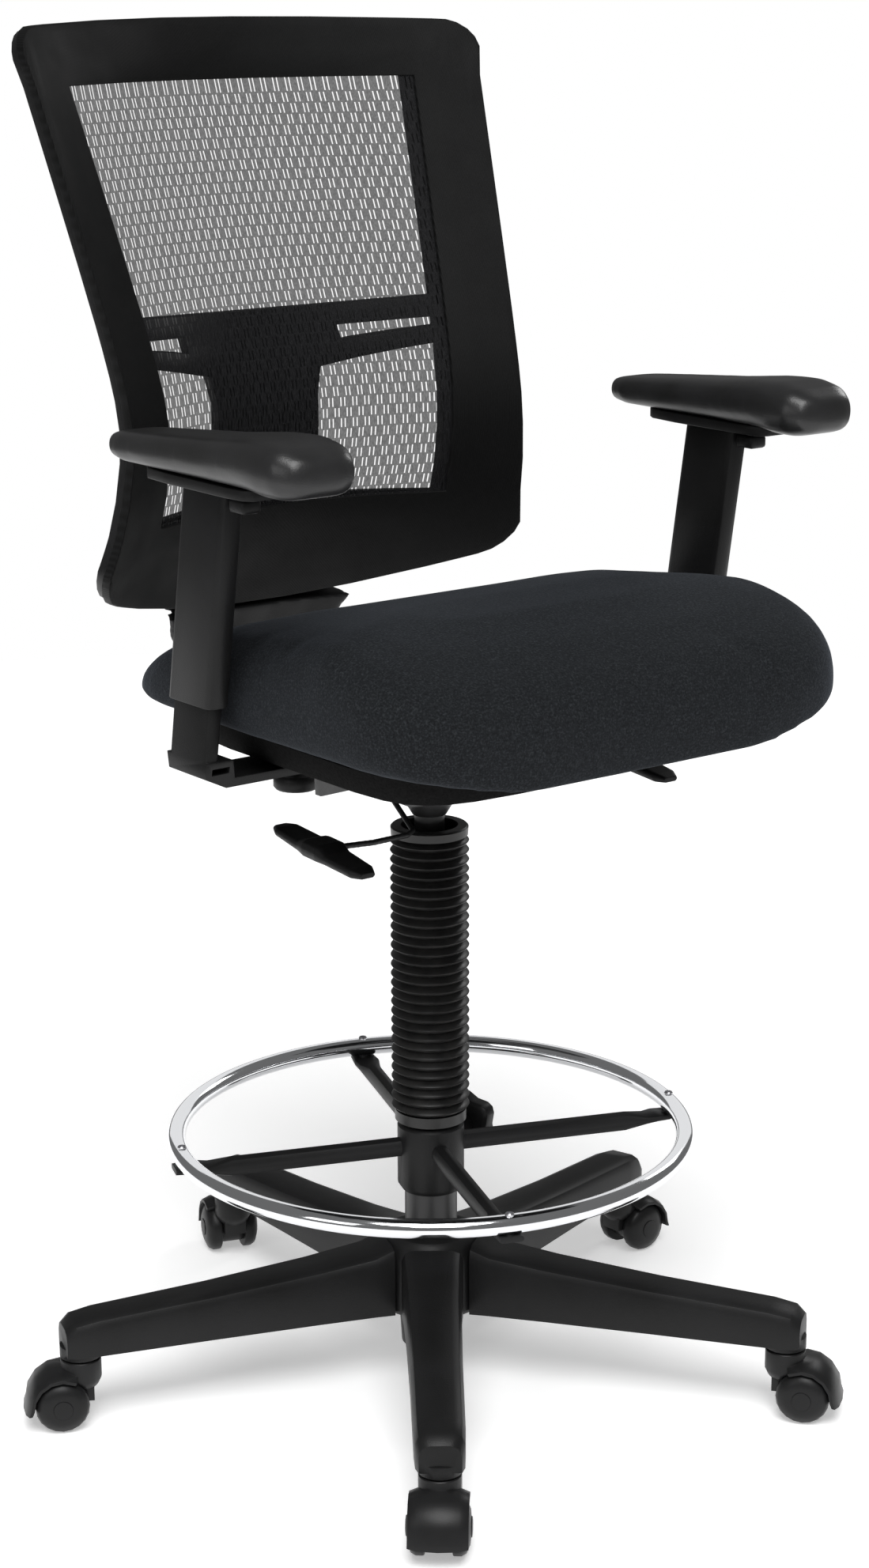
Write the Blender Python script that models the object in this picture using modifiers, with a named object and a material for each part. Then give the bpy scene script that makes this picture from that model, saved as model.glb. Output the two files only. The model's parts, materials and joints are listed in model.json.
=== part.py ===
"""A drafting chair: five-star base on casters, long gas lift in a bellows, foot ring, tilt
mechanism, upholstered seat, height-adjustable armrests and a mesh back on a curved bar.

Metres, +Z up, the sitter faces -Y. Every piece is its own object, and pieces that move hang
from an empty on their joint's axis."""

import math

import bmesh
import bpy
from mathutils import Matrix, Vector

# Driving dimensions ------------------------------------------------------------------------
GAP = 0.0003  # between two pieces that touch
COLUMN_Y = -0.030  # the column's axis, so that the whole chair is centred over the origin
FLOOR = 0.006  # heights below are measured from a datum this far under the floor

WHEEL_RADIUS = 0.025
WHEEL_INNER, WHEEL_OUTER = 0.0120, 0.0280  # distance of a wheel's faces from its caster's middle
AXLE_HEIGHT = FLOOR + WHEEL_RADIUS
CASTER_TRAIL = 0.0190  # wheel axle behind the swivel axis
CASTER_CIRCLE = 0.344  # radius of the circle through the five stems
CASTER_YAWS = (-20, -9, -4, 3, -14)  # how far each caster has swung from pointing outwards
NECK_RADIUS, NECK_TOP = 0.0190, 0.0715
AXLE_RADIUS = 0.0040
STEM_RADIUS = 0.0055
STEM_TOP = 0.1000

ARM_COUNT = 5
ARM_UNDERSIDE, BOSS_BOTTOM = 0.0785, 0.0735
ARM_TIP_RADIUS = 0.360
HUB_BOTTOM, HUB_TOP = 0.036, 0.150

TUBE_RADIUS, TUBE_BOTTOM, TUBE_TOP = 0.0250, 0.033, 0.420
TUBE_BORE = 0.0150
CYLINDER_RADIUS, CYLINDER_BOTTOM, CYLINDER_TOP = 0.0140, 0.190, 0.606
ROD_RADIUS = 0.0050

BELLOWS_BOTTOM, BELLOWS_TOP = 0.263, 0.550
BELLOWS_RADIUS, BELLOWS_ROOT = 0.0367, 0.0324
BELLOWS_FOLDS = 26

RING_RADIUS, RING_TUBE, RING_HEIGHT = 0.240, 0.0088, 0.2510
SPOKE_HEIGHT, SPOKE_HALF_HEIGHT = 0.2362, 0.0095
SPOKE_FIRST = math.radians(-20.5)
RING_HUB_RADIUS, RING_HUB_BOTTOM, RING_HUB_TOP = 0.0316, 0.193, 0.2595
KNOB_ANGLE = math.radians(108)
RING_KNOB_HEIGHT = 0.2390

MECHANISM_BOTTOM, MECHANISM_TOP = 0.5850, 0.6495
MECHANISM_HALF = 0.0555
TILT_PIVOT_Y, TILT_PIVOT_Z = -0.0130, 0.6185
TILT_AXLE_RADIUS = 0.0060
CHEEK_INNER, CHEEK_OUTER = 0.0560, 0.0600
BAR_HALF_WIDTH, BAR_THICKNESS = 0.0260, 0.0080
BAR_HEIGHT = 0.6120
DEPTH_KNOB_Y = 0.215

PAN_BOTTOM, PAN_TOP = 0.6500, 0.6780
SEAT_HALF_WIDTH, SEAT_FRONT, SEAT_REAR = 0.263, -0.316, 0.149
SEAT_TOP = 0.788

BACK_BOTTOM, BACK_TOP = 0.756, 1.264  # at the corners
WINDOW_BOTTOM, WINDOW_TOP = 0.818, 1.211
BACK_WAIST = 0.900  # height of the lumbar bulge
BACK_WING = 1.45  # how fast the back curves forward away from its middle
BACK_PANEL = 0.0140  # thickness of the front frame
BACK_CORNER = 0.0250  # radius of the back's outer corners
BORDER = (1.0, 1.40, 1.61, 1.76, 1.885, 1.97, 2.0)  # columns from the window's edge, 1, to the rim, 2
BACK_BOW = 0.0340  # how far the rear frame bows away from the mesh at its middle
REAR_PANEL = 0.0130  # thickness of the rear frame
REAR_START = BACK_PANEL + 0.0012  # the rear frame's front face, behind the hoop's front face

ARM_REST_X = 0.2785
SLEEVE_LOW = Vector((0.0, -0.0450, 0.7150))
SLEEVE_HIGH = Vector((0.0, -0.0760, 0.9030))
SLEEVE_HALF_X, SLEEVE_HALF_Y = 0.0110, 0.0340
UPRIGHT_HALF_X, UPRIGHT_HALF_Y = 0.0070, 0.0285
PAD_BOTTOM = 0.9125

BLACK_PLASTIC = ((0.018, 0.018, 0.019), 0.45, 0.0)
SATIN_PLASTIC = ((0.022, 0.022, 0.024), 0.36, 0.0)
BLACK_STEEL = ((0.016, 0.016, 0.018), 0.35, 0.3)
BRIGHT_STEEL = ((0.60, 0.61, 0.63), 0.28, 1.0)
CHROME = ((0.82, 0.83, 0.85), 0.07, 1.0)
BLACK_RUBBER = ((0.012, 0.012, 0.013), 0.60, 0.0)
SOFT_PAD = ((0.020, 0.020, 0.022), 0.50, 0.0)
CHARCOAL_CLOTH = ((0.030, 0.032, 0.036), 0.92, 0.0)
BLACK_MESH = ((0.014, 0.014, 0.016), 0.85, 0.0)

for leftover in list(bpy.data.objects):
    bpy.data.objects.remove(leftover)

chair = bpy.data.collections.new("drafting_chair")
cutters = bpy.data.collections.new("cutters")
cutters.hide_render = True
for collection in (chair, cutters):
    bpy.context.scene.collection.children.link(collection)


# Building blocks ---------------------------------------------------------------------------
def empty(name, parent=None, location=(0, 0, 0), turn=(0, 0, 0)):
    pivot = bpy.data.objects.new(name, None)
    pivot.empty_display_size = 0.02
    pivot.location = location
    pivot.rotation_euler = turn
    pivot.parent = parent
    chair.objects.link(pivot)
    return pivot


def coat(obj, finish):
    colour, roughness, metallic = finish
    material = bpy.data.materials.new(obj.name + "_finish")
    material.use_nodes = True
    shader = material.node_tree.nodes["Principled BSDF"]
    shader.inputs["Base Color"].default_value = (*colour, 1.0)
    shader.inputs["Roughness"].default_value = roughness
    shader.inputs["Metallic"].default_value = metallic
    obj.data.materials.clear()
    obj.data.materials.append(material)
    return obj


def add(name, bm, finish, parent, round_angle=32):
    """The bmesh as a piece of the chair, shaded smooth except at its sharp edges."""
    bmesh.ops.recalc_face_normals(bm, faces=bm.faces)
    mesh = bpy.data.meshes.new(name)
    bm.to_mesh(mesh)
    bm.free()
    mesh.shade_smooth()
    mesh.set_sharp_from_angle(angle=math.radians(round_angle))
    obj = bpy.data.objects.new(name, mesh)
    obj.parent = parent
    chair.objects.link(obj)
    return coat(obj, finish)


def as_cutter(obj):
    chair.objects.unlink(obj)
    cutters.objects.link(obj)
    obj.hide_render = True
    obj.display_type = "WIRE"
    return obj


def boolean(obj, other, operation):
    modifier = obj.modifiers.new(f"{operation.lower()}_{other.name}", "BOOLEAN")
    modifier.operation = operation
    modifier.solver = "EXACT"
    modifier.object = as_cutter(other)
    return obj


def cut(obj, *others):
    for other in others:
        boolean(obj, other, "DIFFERENCE")
    return obj


def join(obj, *others):
    for other in others:
        boolean(obj, other, "UNION")
    return obj


def bevel(obj, width, segments=1, angle=40):
    modifier = obj.modifiers.new("rounded_edges", "BEVEL")
    modifier.width = width
    modifier.segments = segments
    modifier.limit_method = "ANGLE"
    modifier.angle_limit = math.radians(angle)
    return obj


def box(name, low, high, finish, parent):
    bm = bmesh.new()
    size = Vector(high) - Vector(low)
    middle = (Vector(high) + Vector(low)) / 2
    matrix = Matrix.Translation(middle) @ Matrix.Diagonal((*size, 1.0))
    bmesh.ops.create_cube(bm, size=1.0, matrix=matrix)
    return add(name, bm, finish, parent)


def rod(name, start, end, radius, finish, parent, sides=20, end_radius=None):
    """A straight cylinder or cone between two points."""
    start, end = Vector(start), Vector(end)
    direction = end - start
    matrix = Matrix.Translation((start + end) / 2)
    matrix = matrix @ direction.to_track_quat("Z", "Y").to_matrix().to_4x4()
    bm = bmesh.new()
    bmesh.ops.create_cone(
        bm,
        cap_ends=True,
        segments=sides,
        radius1=radius,
        radius2=radius if end_radius is None else end_radius,
        depth=direction.length,
        matrix=matrix,
    )
    return add(name, bm, finish, parent)


def turned(name, profile, finish, parent, steps=32, turn=(0, 0, 0), location=(0, 0, 0)):
    """A closed profile of (radius, height) points turned about the local Z axis."""
    mesh = bpy.data.meshes.new(name)
    points = [(radius, 0.0, height) for radius, height in profile]
    on_axis = profile[0][0] == 0.0 and profile[-1][0] == 0.0
    edges = [(i, i + 1) for i in range(len(points) - 1)]
    if not on_axis:
        edges.append((len(points) - 1, 0))
    mesh.from_pydata(points, edges, [])
    obj = bpy.data.objects.new(name, mesh)
    obj.parent = parent
    obj.location = location
    obj.rotation_euler = turn
    chair.objects.link(obj)
    screw = obj.modifiers.new("turned", "SCREW")
    screw.steps = screw.render_steps = steps
    screw.use_merge_vertices = True
    screw.merge_threshold = 0.00001
    screw.use_smooth_shade = True
    return coat(obj, finish)


def loft(name, rings, finish, parent, round_angle=60):
    """A closed solid through rings that all have the same number of points."""
    bm = bmesh.new()
    rows = [[bm.verts.new(point) for point in ring] for ring in rings]
    for first, second in zip(rows, rows[1:]):
        for i in range(len(first)):
            j = (i + 1) % len(first)
            bm.faces.new((first[i], first[j], second[j], second[i]))
    bm.faces.new(rows[0])
    bm.faces.new(rows[-1])
    return add(name, bm, finish, parent, round_angle)


def rounded(half_x, half_y, corner, per_corner=3):
    """The points of a rounded rectangle about the origin, counter-clockwise."""
    points = []
    for k, (sx, sy) in enumerate(((1, 1), (-1, 1), (-1, -1), (1, -1))):
        for step in range(per_corner):
            angle = math.radians(90) * (k + step / (per_corner - 1))
            x = sx * (half_x - corner) + corner * math.cos(angle)
            y = sy * (half_y - corner) + corner * math.sin(angle)
            points.append((x, y))
    return points


def shell(name, columns, rows, place, keep, thickness, finish, parent):
    """A grid of faces given a thickness rearwards; keep says which cells are not windows."""
    bm = bmesh.new()
    corner = {}
    for i in range(len(rows) - 1):
        for j in range(len(columns) - 1):
            if not keep(i, j):
                continue
            cell = []
            for a, b in ((i, j), (i, j + 1), (i + 1, j + 1), (i + 1, j)):
                if (a, b) not in corner:
                    corner[a, b] = bm.verts.new(place(columns[b], rows[a]))
                cell.append(corner[a, b])
            bm.faces.new(cell)
    thicken(bm, (0, thickness, 0))
    return add(name, bm, finish, parent)


def thicken(bm, shift):
    """Extrudes every face of the bmesh by the same shift into a closed solid."""
    moved = bmesh.ops.extrude_face_region(bm, geom=bm.faces[:])["geom"]
    corners = [v for v in moved if isinstance(v, bmesh.types.BMVert)]
    bmesh.ops.translate(bm, verts=corners, vec=shift)


def plate(name, outline, side_x, thickness, finish, parent):
    """A flat plate across X, from an outline of (y, z) points."""
    bm = bmesh.new()
    bm.faces.new([bm.verts.new((side_x, y, z)) for y, z in outline])
    thicken(bm, (thickness, 0, 0))
    return add(name, bm, finish, parent)


def swept(name, points, radius, finish, parent, sides=1):
    """A round bar along a smooth line, with closed ends; sides is the bevel resolution."""
    curve = bpy.data.curves.new(name, "CURVE")
    curve.dimensions = "3D"
    curve.bevel_depth = radius
    curve.bevel_resolution = sides
    curve.use_fill_caps = True
    spline = curve.splines.new("POLY")
    spline.points.add(len(points) - 1)
    for point, place in zip(spline.points, points):
        point.co = (*place, 1.0)
    return from_curve(name, curve, finish, parent)


def from_curve(name, curve, finish, parent):
    """The curve as a closed mesh, so that it can be cut and joined."""
    guide = bpy.data.objects.new(name + "_guide", curve)
    bpy.context.scene.collection.objects.link(guide)
    graph = bpy.context.evaluated_depsgraph_get()
    mesh = bpy.data.meshes.new_from_object(guide.evaluated_get(graph))
    bpy.data.objects.remove(guide)
    bm = bmesh.new()
    bm.from_mesh(mesh)
    bpy.data.meshes.remove(mesh)
    bmesh.ops.remove_doubles(bm, verts=bm.verts, dist=0.00001)
    return add(name, bm, finish, parent)


def arc(centre, radius, start, end, count):
    """Points on an arc in the plane of Y and Z, angles in degrees from +Y towards +Z."""
    found = []
    for k in range(count):
        angle = math.radians(start + (end - start) * k / (count - 1))
        y = centre[0] + radius * math.cos(angle)
        z = centre[1] + radius * math.sin(angle)
        found.append((y, z))
    return found


def around(radius, angle, height=0.0):
    """A point by its angle from straight ahead of the sitter, towards +X."""
    return Vector((radius * math.sin(angle), -radius * math.cos(angle), height))


def soft_bend(distance, above, below, softness):
    """Zero at distance 0, then a straight slope on each side, with a smooth start."""
    slope = above if distance > 0 else below
    return slope * (math.hypot(distance, softness) - softness)


# Base --------------------------------------------------------------------------------------
def star_base(parent):
    """Nylon five-star base: a hub with a skirt, and arms that are channels open below."""
    base = turned(
        "star_base",
        [
            (TUBE_RADIUS + GAP, HUB_TOP),
            (0.0400, HUB_TOP),
            (0.0440, HUB_TOP - 0.004),
            (0.0500, 0.1320),
            (0.0520, ARM_UNDERSIDE + 0.004),
            (0.0490, ARM_UNDERSIDE - 0.001),
            (0.0330, ARM_UNDERSIDE - 0.003),
            (0.0300, 0.0600),
            (0.0285, HUB_BOTTOM),
            (TUBE_RADIUS + GAP, HUB_BOTTOM),
        ],
        BLACK_PLASTIC,
        parent,
        steps=32,
    )
    for k in range(ARM_COUNT):
        angle = math.radians(180 + 72 * k)
        arm = base_arm(f"base_arm_{k + 1}", parent, angle)
        channel = base_channel(f"base_channel_{k + 1}", parent, angle)
        socket_foot = around(CASTER_CIRCLE, angle, 0.06)
        socket_end = around(CASTER_CIRCLE, angle, STEM_TOP + 0.001)
        socket = rod(
            f"stem_socket_{k + 1}", socket_foot, socket_end, STEM_RADIUS + GAP,
            BLACK_PLASTIC, parent, sides=12,
        )
        boss = rod(
            f"stem_boss_{k + 1}", around(CASTER_CIRCLE, angle, BOSS_BOTTOM),
            around(CASTER_CIRCLE, angle, ARM_UNDERSIDE + 0.006), NECK_RADIUS + GAP,
            BLACK_PLASTIC, parent, sides=20,
        )
        join(base, arm, boss)
        cut(base, channel, socket)
    return base


def base_section(radius, angle, half_width, low, high, shoulder):
    """One cross-section of an arm: flat below, with rounded shoulders above."""
    outward = around(1.0, angle)
    across = Vector((outward.y, -outward.x, 0.0))
    outline = [
        (-half_width, low),
        (half_width, low),
        (half_width, high - shoulder),
        (half_width - 0.3 * shoulder, high - 0.3 * shoulder),
        (half_width - shoulder, high),
        (-half_width + shoulder, high),
        (-half_width + 0.3 * shoulder, high - 0.3 * shoulder),
        (-half_width, high - shoulder),
    ]
    return [outward * radius + across * side + Vector((0, 0, z)) for side, z in outline]


def base_arm(name, parent, angle):
    sections = (
        (0.0460, 0.0290, 0.1460),
        (0.0640, 0.0275, 0.1385),
        (0.1200, 0.0255, 0.1315),
        (0.2200, 0.0235, 0.1225),
        (0.3300, 0.0225, 0.1150),
        (0.3510, 0.0215, 0.1115),
        (ARM_TIP_RADIUS, 0.0185, 0.1040),
    )
    rings = [base_section(r, angle, w, ARM_UNDERSIDE, top, 0.010) for r, w, top in sections]
    return loft(name, rings, BLACK_PLASTIC, parent)


def base_channel(name, parent, angle):
    """The hollow under an arm, between the hub and the stem socket."""
    sections = ((0.0620, 0.0215, 0.1270), (0.1800, 0.0200, 0.1190), (0.3200, 0.0170, 0.1090))
    rings = []
    for radius, half, top in sections:
        rings.append(base_section(radius, angle, half, ARM_UNDERSIDE - 0.01, top, 0.008))
    return loft(name, rings, BLACK_PLASTIC, parent)


def caster(number, parent, angle):
    """A twin-wheel caster trailing outwards: stem, hooded housing, axle and two wheels."""
    turn = (0, 0, angle + math.radians(CASTER_YAWS[number - 1]))
    swivel = empty(f"caster_{number}_swivel", parent, around(CASTER_CIRCLE, angle), turn)
    roll = empty(f"caster_{number}_roll", swivel, (0, -CASTER_TRAIL, AXLE_HEIGHT))
    tag = f"caster_{number}"
    caster_housing(tag, swivel)
    turned(
        f"{tag}_stem",
        [
            (0.0, STEM_TOP),
            (STEM_RADIUS - 0.001, STEM_TOP),
            (STEM_RADIUS, STEM_TOP - 0.0015),
            (STEM_RADIUS, NECK_TOP - 0.0120),
            (0.0, NECK_TOP - 0.0120),
        ],
        BRIGHT_STEEL, swivel, steps=12,
    )
    rod(
        f"{tag}_axle", (-WHEEL_OUTER + 0.004, 0, 0), (WHEEL_OUTER - 0.004, 0, 0),
        AXLE_RADIUS, BRIGHT_STEEL, roll, sides=12,
    )
    for side, word in ((-1, "right"), (1, "left")):
        wheel(f"{tag}_wheel_{word}", roll, side)


def caster_housing(tag, parent):
    """Neck over the stem, a web between the wheels, and the hood that wraps over them."""
    housing = turned(
        f"{tag}_housing",
        [
            (0.0, NECK_TOP),
            (NECK_RADIUS - 0.001, NECK_TOP),
            (NECK_RADIUS, NECK_TOP - 0.001),
            (NECK_RADIUS, 0.0520),
            (NECK_RADIUS - 0.0030, 0.0455),
            (NECK_RADIUS - 0.0080, 0.0405),
            (0.0, 0.0405),
        ],
        BLACK_PLASTIC, parent, steps=20,
    )
    axle = Vector((0, -CASTER_TRAIL, AXLE_HEIGHT))
    half_web = Vector((WHEEL_INNER - 0.0008, 0, 0))
    web = rod(f"{tag}_web", axle - half_web, axle + half_web, 0.0180, BLACK_PLASTIC, parent, 20)
    throat = box(
        f"{tag}_throat", (-half_web.x, -0.030, AXLE_HEIGHT), (half_web.x, 0.0110, 0.0520),
        BLACK_PLASTIC, parent,
    )
    hood = caster_hood(f"{tag}_hood", parent)
    room = rod(
        f"{tag}_wheel_room", axle - Vector((0.04, 0, 0)), axle + Vector((0.04, 0, 0)),
        WHEEL_RADIUS + 0.0008, BLACK_PLASTIC, parent, 24,
    )
    cut(housing, room)
    join(housing, web, throat, hood)
    bore = rod(
        f"{tag}_axle_bore", axle - Vector((0.05, 0, 0)), axle + Vector((0.05, 0, 0)),
        AXLE_RADIUS + GAP, BLACK_PLASTIC, parent, 10,
    )
    stem_bore = rod(
        f"{tag}_stem_bore", (0, 0, NECK_TOP - 0.0120 - GAP), (0, 0, NECK_TOP + 0.01),
        STEM_RADIUS + GAP, BLACK_PLASTIC, parent, 12,
    )
    return cut(housing, bore, stem_bore)


def caster_hood(name, parent):
    """A crowned cover from over the neck down to the outer side of the wheels, with a lip."""
    inner = WHEEL_RADIUS + 0.0010
    web = WHEEL_INNER - 0.0008
    rings = []
    for turn, flare in (
        (62, 0.0), (88, 0.0), (112, 0.0), (136, 0.0), (160, 0.0), (180, 0.0), (190, 0.0025),
    ):
        angle = math.radians(turn)
        ring = []
        for x, radius in (
            (-0.0262, inner + flare), (-0.0262, 0.0290 + flare), (-0.0180, 0.0322 + flare),
            (0.0, 0.0335 + flare), (0.0180, 0.0322 + flare), (0.0262, 0.0290 + flare),
            (0.0262, inner + flare), (web, inner + flare), (web, 0.0200), (-web, 0.0200),
            (-web, inner + flare),
        ):
            y = -CASTER_TRAIL + radius * math.cos(angle)
            ring.append((x, y, AXLE_HEIGHT + radius * math.sin(angle)))
        rings.append(ring)
    return loft(name, rings, BLACK_PLASTIC, parent)


def wheel(name, parent, side):
    """A nylon wheel with a crowned outer face, turned about its axle."""
    bore = AXLE_RADIUS + GAP
    profile = [
        (bore, WHEEL_OUTER),
        (0.0150, WHEEL_OUTER - 0.0010),
        (0.0225, WHEEL_OUTER - 0.0042),
        (WHEEL_RADIUS, WHEEL_OUTER - 0.0085),
        (WHEEL_RADIUS, WHEEL_INNER + 0.0010),
        (WHEEL_RADIUS - 0.0010, WHEEL_INNER),
        (bore, WHEEL_INNER),
    ]
    return turned(
        name, profile, BLACK_PLASTIC, parent, steps=20, turn=(0, side * math.radians(90), 0),
    )


# Column ------------------------------------------------------------------------------------
def outer_tube(parent):
    return turned(
        "lift_outer_tube",
        [
            (TUBE_BORE, TUBE_TOP),
            (TUBE_RADIUS - 0.001, TUBE_TOP),
            (TUBE_RADIUS, TUBE_TOP - 0.001),
            (TUBE_RADIUS, TUBE_BOTTOM),
            (ROD_RADIUS + GAP, TUBE_BOTTOM),
            (ROD_RADIUS + GAP, TUBE_BOTTOM + 0.004),
            (TUBE_BORE, TUBE_BOTTOM + 0.004),
        ],
        BLACK_STEEL, parent, steps=24,
    )


def piston(parent):
    """The fixed rod, which stands on the foot of the outer tube and carries the cylinder."""
    turned(
        "lift_piston_rod",
        [(0.0, 0.440), (ROD_RADIUS, 0.440), (ROD_RADIUS, 0.0315), (0.0, 0.0315)],
        BRIGHT_STEEL, parent, steps=12,
    )
    turned(
        "lift_thrust_bearing",
        [
            (ROD_RADIUS + GAP, TUBE_BOTTOM + 0.0100),
            (0.0115, TUBE_BOTTOM + 0.0100),
            (0.0120, TUBE_BOTTOM + 0.0045),
            (ROD_RADIUS + GAP, TUBE_BOTTOM + 0.0045),
        ],
        BRIGHT_STEEL, parent, steps=16,
    )


def cylinder(parent):
    return turned(
        "lift_cylinder",
        [
            (0.0, CYLINDER_TOP),
            (0.0040, CYLINDER_TOP),
            (0.0040, CYLINDER_TOP - 0.005),
            (CYLINDER_RADIUS - 0.001, CYLINDER_TOP - 0.006),
            (CYLINDER_RADIUS, CYLINDER_TOP - 0.040),
            (CYLINDER_RADIUS, CYLINDER_BOTTOM),
            (ROD_RADIUS + GAP, CYLINDER_BOTTOM),
            (ROD_RADIUS + GAP, 0.5850),
            (0.0, 0.5850),
        ],
        BRIGHT_STEEL, parent, steps=20,
    )


def bellows(parent):
    """A folded rubber gaiter; its folds are closer together near the foot."""
    bore = TUBE_RADIUS + 0.0015
    span = BELLOWS_TOP - 0.009 - (BELLOWS_BOTTOM + 0.010)
    outline = [
        (bore, BELLOWS_TOP),
        (0.0345, BELLOWS_TOP),
        (BELLOWS_RADIUS, BELLOWS_TOP - 0.003),
        (0.0345, BELLOWS_TOP - 0.007),
    ]
    for fold in range(BELLOWS_FOLDS):
        start, end = fold / BELLOWS_FOLDS, (fold + 1) / BELLOWS_FOLDS
        for share, radius in ((start, BELLOWS_ROOT), ((start + end) / 2, BELLOWS_RADIUS)):
            eased = share - 0.10 * share * (share - 1.0)
            outline.append((radius, BELLOWS_TOP - 0.009 - span * eased))
    outline += [
        (BELLOWS_ROOT, BELLOWS_BOTTOM + 0.0095),
        (0.0312, BELLOWS_BOTTOM + 0.0085),
        (0.0312, BELLOWS_BOTTOM),
        (bore, BELLOWS_BOTTOM),
    ]
    return turned("lift_bellows", outline, BLACK_RUBBER, parent, steps=18)


# Foot ring ---------------------------------------------------------------------------------
def foot_ring(parent):
    bm = bmesh.new()
    sides, steps = 8, 56
    rings = []
    for k in range(steps):
        angle = 2 * math.pi * k / steps
        ring = []
        for j in range(sides):
            turn = 2 * math.pi * j / sides
            radius = RING_RADIUS + RING_TUBE * math.cos(turn)
            ring.append(bm.verts.new(around(radius, angle, RING_HEIGHT + RING_TUBE * math.sin(turn))))
        rings.append(ring)
    for k in range(steps):
        first, second = rings[k], rings[(k + 1) % steps]
        for j in range(sides):
            n = (j + 1) % sides
            bm.faces.new((first[j], first[n], second[n], second[j]))
    ring = add("foot_ring", bm, CHROME, parent, round_angle=60)
    for k in range(4):
        angle = SPOKE_FIRST + math.radians(90 * k)
        hole = rod(
            f"ring_screw_hole_{k + 1}", around(RING_RADIUS, angle, 0.235),
            around(RING_RADIUS, angle, 0.265), 0.0033, CHROME, parent, 12,
        )
        cut(ring, hole)
    return ring


def spoke(name, parent, angle):
    """A flat-oval tube, flattened further at the end that lies under the ring."""
    outward, across = around(1.0, angle), around(1.0, angle + math.radians(90))
    seat = RING_HEIGHT - RING_TUBE - GAP
    sections = (
        (0.0260, 0.0080, SPOKE_HEIGHT - SPOKE_HALF_HEIGHT, SPOKE_HEIGHT + SPOKE_HALF_HEIGHT),
        (0.1940, 0.0080, SPOKE_HEIGHT - SPOKE_HALF_HEIGHT, SPOKE_HEIGHT + SPOKE_HALF_HEIGHT),
        (0.2150, 0.0110, seat - 0.0085, seat - 0.0005),
        (0.2250, 0.0130, seat - 0.0060, seat),
        (0.2480, 0.0110, seat - 0.0055, seat),
    )
    rings = []
    for radius, half, low, high in sections:
        middle, half_z = (low + high) / 2, (high - low) / 2
        corner = min(half, half_z) * 0.9
        ring = []
        for side, up in rounded(half, half_z, corner):
            ring.append(outward * radius + across * side + Vector((0, 0, middle + up)))
        rings.append(ring)
    return loft(name, rings, BLACK_STEEL, parent)


def ring_spider(parent):
    """Clamp hub and four spokes, welded into one piece."""
    hub = turned(
        "foot_ring_spider",
        [
            (TUBE_RADIUS + GAP, RING_HUB_TOP),
            (RING_HUB_RADIUS - 0.003, RING_HUB_TOP),
            (RING_HUB_RADIUS, RING_HUB_TOP - 0.003),
            (RING_HUB_RADIUS, RING_HUB_BOTTOM + 0.006),
            (RING_HUB_RADIUS - 0.004, RING_HUB_BOTTOM),
            (TUBE_RADIUS + GAP, RING_HUB_BOTTOM),
        ],
        BLACK_STEEL, parent, steps=28,
    )
    boss = rod(
        "clamp_boss", around(0.0270, KNOB_ANGLE, RING_KNOB_HEIGHT),
        around(0.0540, KNOB_ANGLE, RING_KNOB_HEIGHT), 0.0110, BLACK_STEEL, parent, 20,
    )
    join(hub, boss)
    for k in range(4):
        angle = SPOKE_FIRST + math.radians(90 * k)
        arm = spoke(f"spoke_{k + 1}", parent, angle)
        hole = rod(
            f"spoke_hole_{k + 1}", around(RING_RADIUS, angle, 0.225),
            around(RING_RADIUS, angle, 0.245), 0.0033, BLACK_STEEL, parent, 12,
        )
        join(hub, arm)
        cut(hub, hole)
    bore = rod(
        "clamp_screw_bore", around(0.0200, KNOB_ANGLE, RING_KNOB_HEIGHT),
        around(0.0600, KNOB_ANGLE, RING_KNOB_HEIGHT), 0.0043, BLACK_STEEL, parent, 12,
    )
    column_bore = rod(
        "spider_column_bore", (0, 0, 0.18), (0, 0, 0.27), TUBE_RADIUS + GAP,
        BLACK_STEEL, parent, 32,
    )
    return cut(hub, bore, column_bore)


def ring_knob(parent):
    """A lobed clamp knob with its threaded stud, modelled along the local Z axis."""
    outward = around(1.0, KNOB_ANGLE)
    turn = outward.to_track_quat("Z", "Y").to_euler()
    pivot = empty(
        "foot_ring_knob_pivot", parent, around(0.0, 0.0, RING_KNOB_HEIGHT), turn,
    )
    lobes, steps = 5, 30
    rings = []
    for height, share in ((0.0550, 0.86), (0.0580, 1.0), (0.0700, 1.0), (0.0740, 0.86)):
        ring = []
        for k in range(steps):
            angle = 2 * math.pi * k / steps
            radius = share * (0.0265 + 0.0030 * math.cos(lobes * angle))
            ring.append((radius * math.cos(angle), radius * math.sin(angle), height))
        rings.append(ring)
    knob = loft("foot_ring_knob", rings, BLACK_PLASTIC, pivot, round_angle=35)
    stud = rod(
        "foot_ring_knob_stud", (0, 0, TUBE_RADIUS + 2 * GAP), (0, 0, 0.060), 0.0040,
        BLACK_STEEL, pivot, 12,
    )
    return join(knob, stud)


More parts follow.
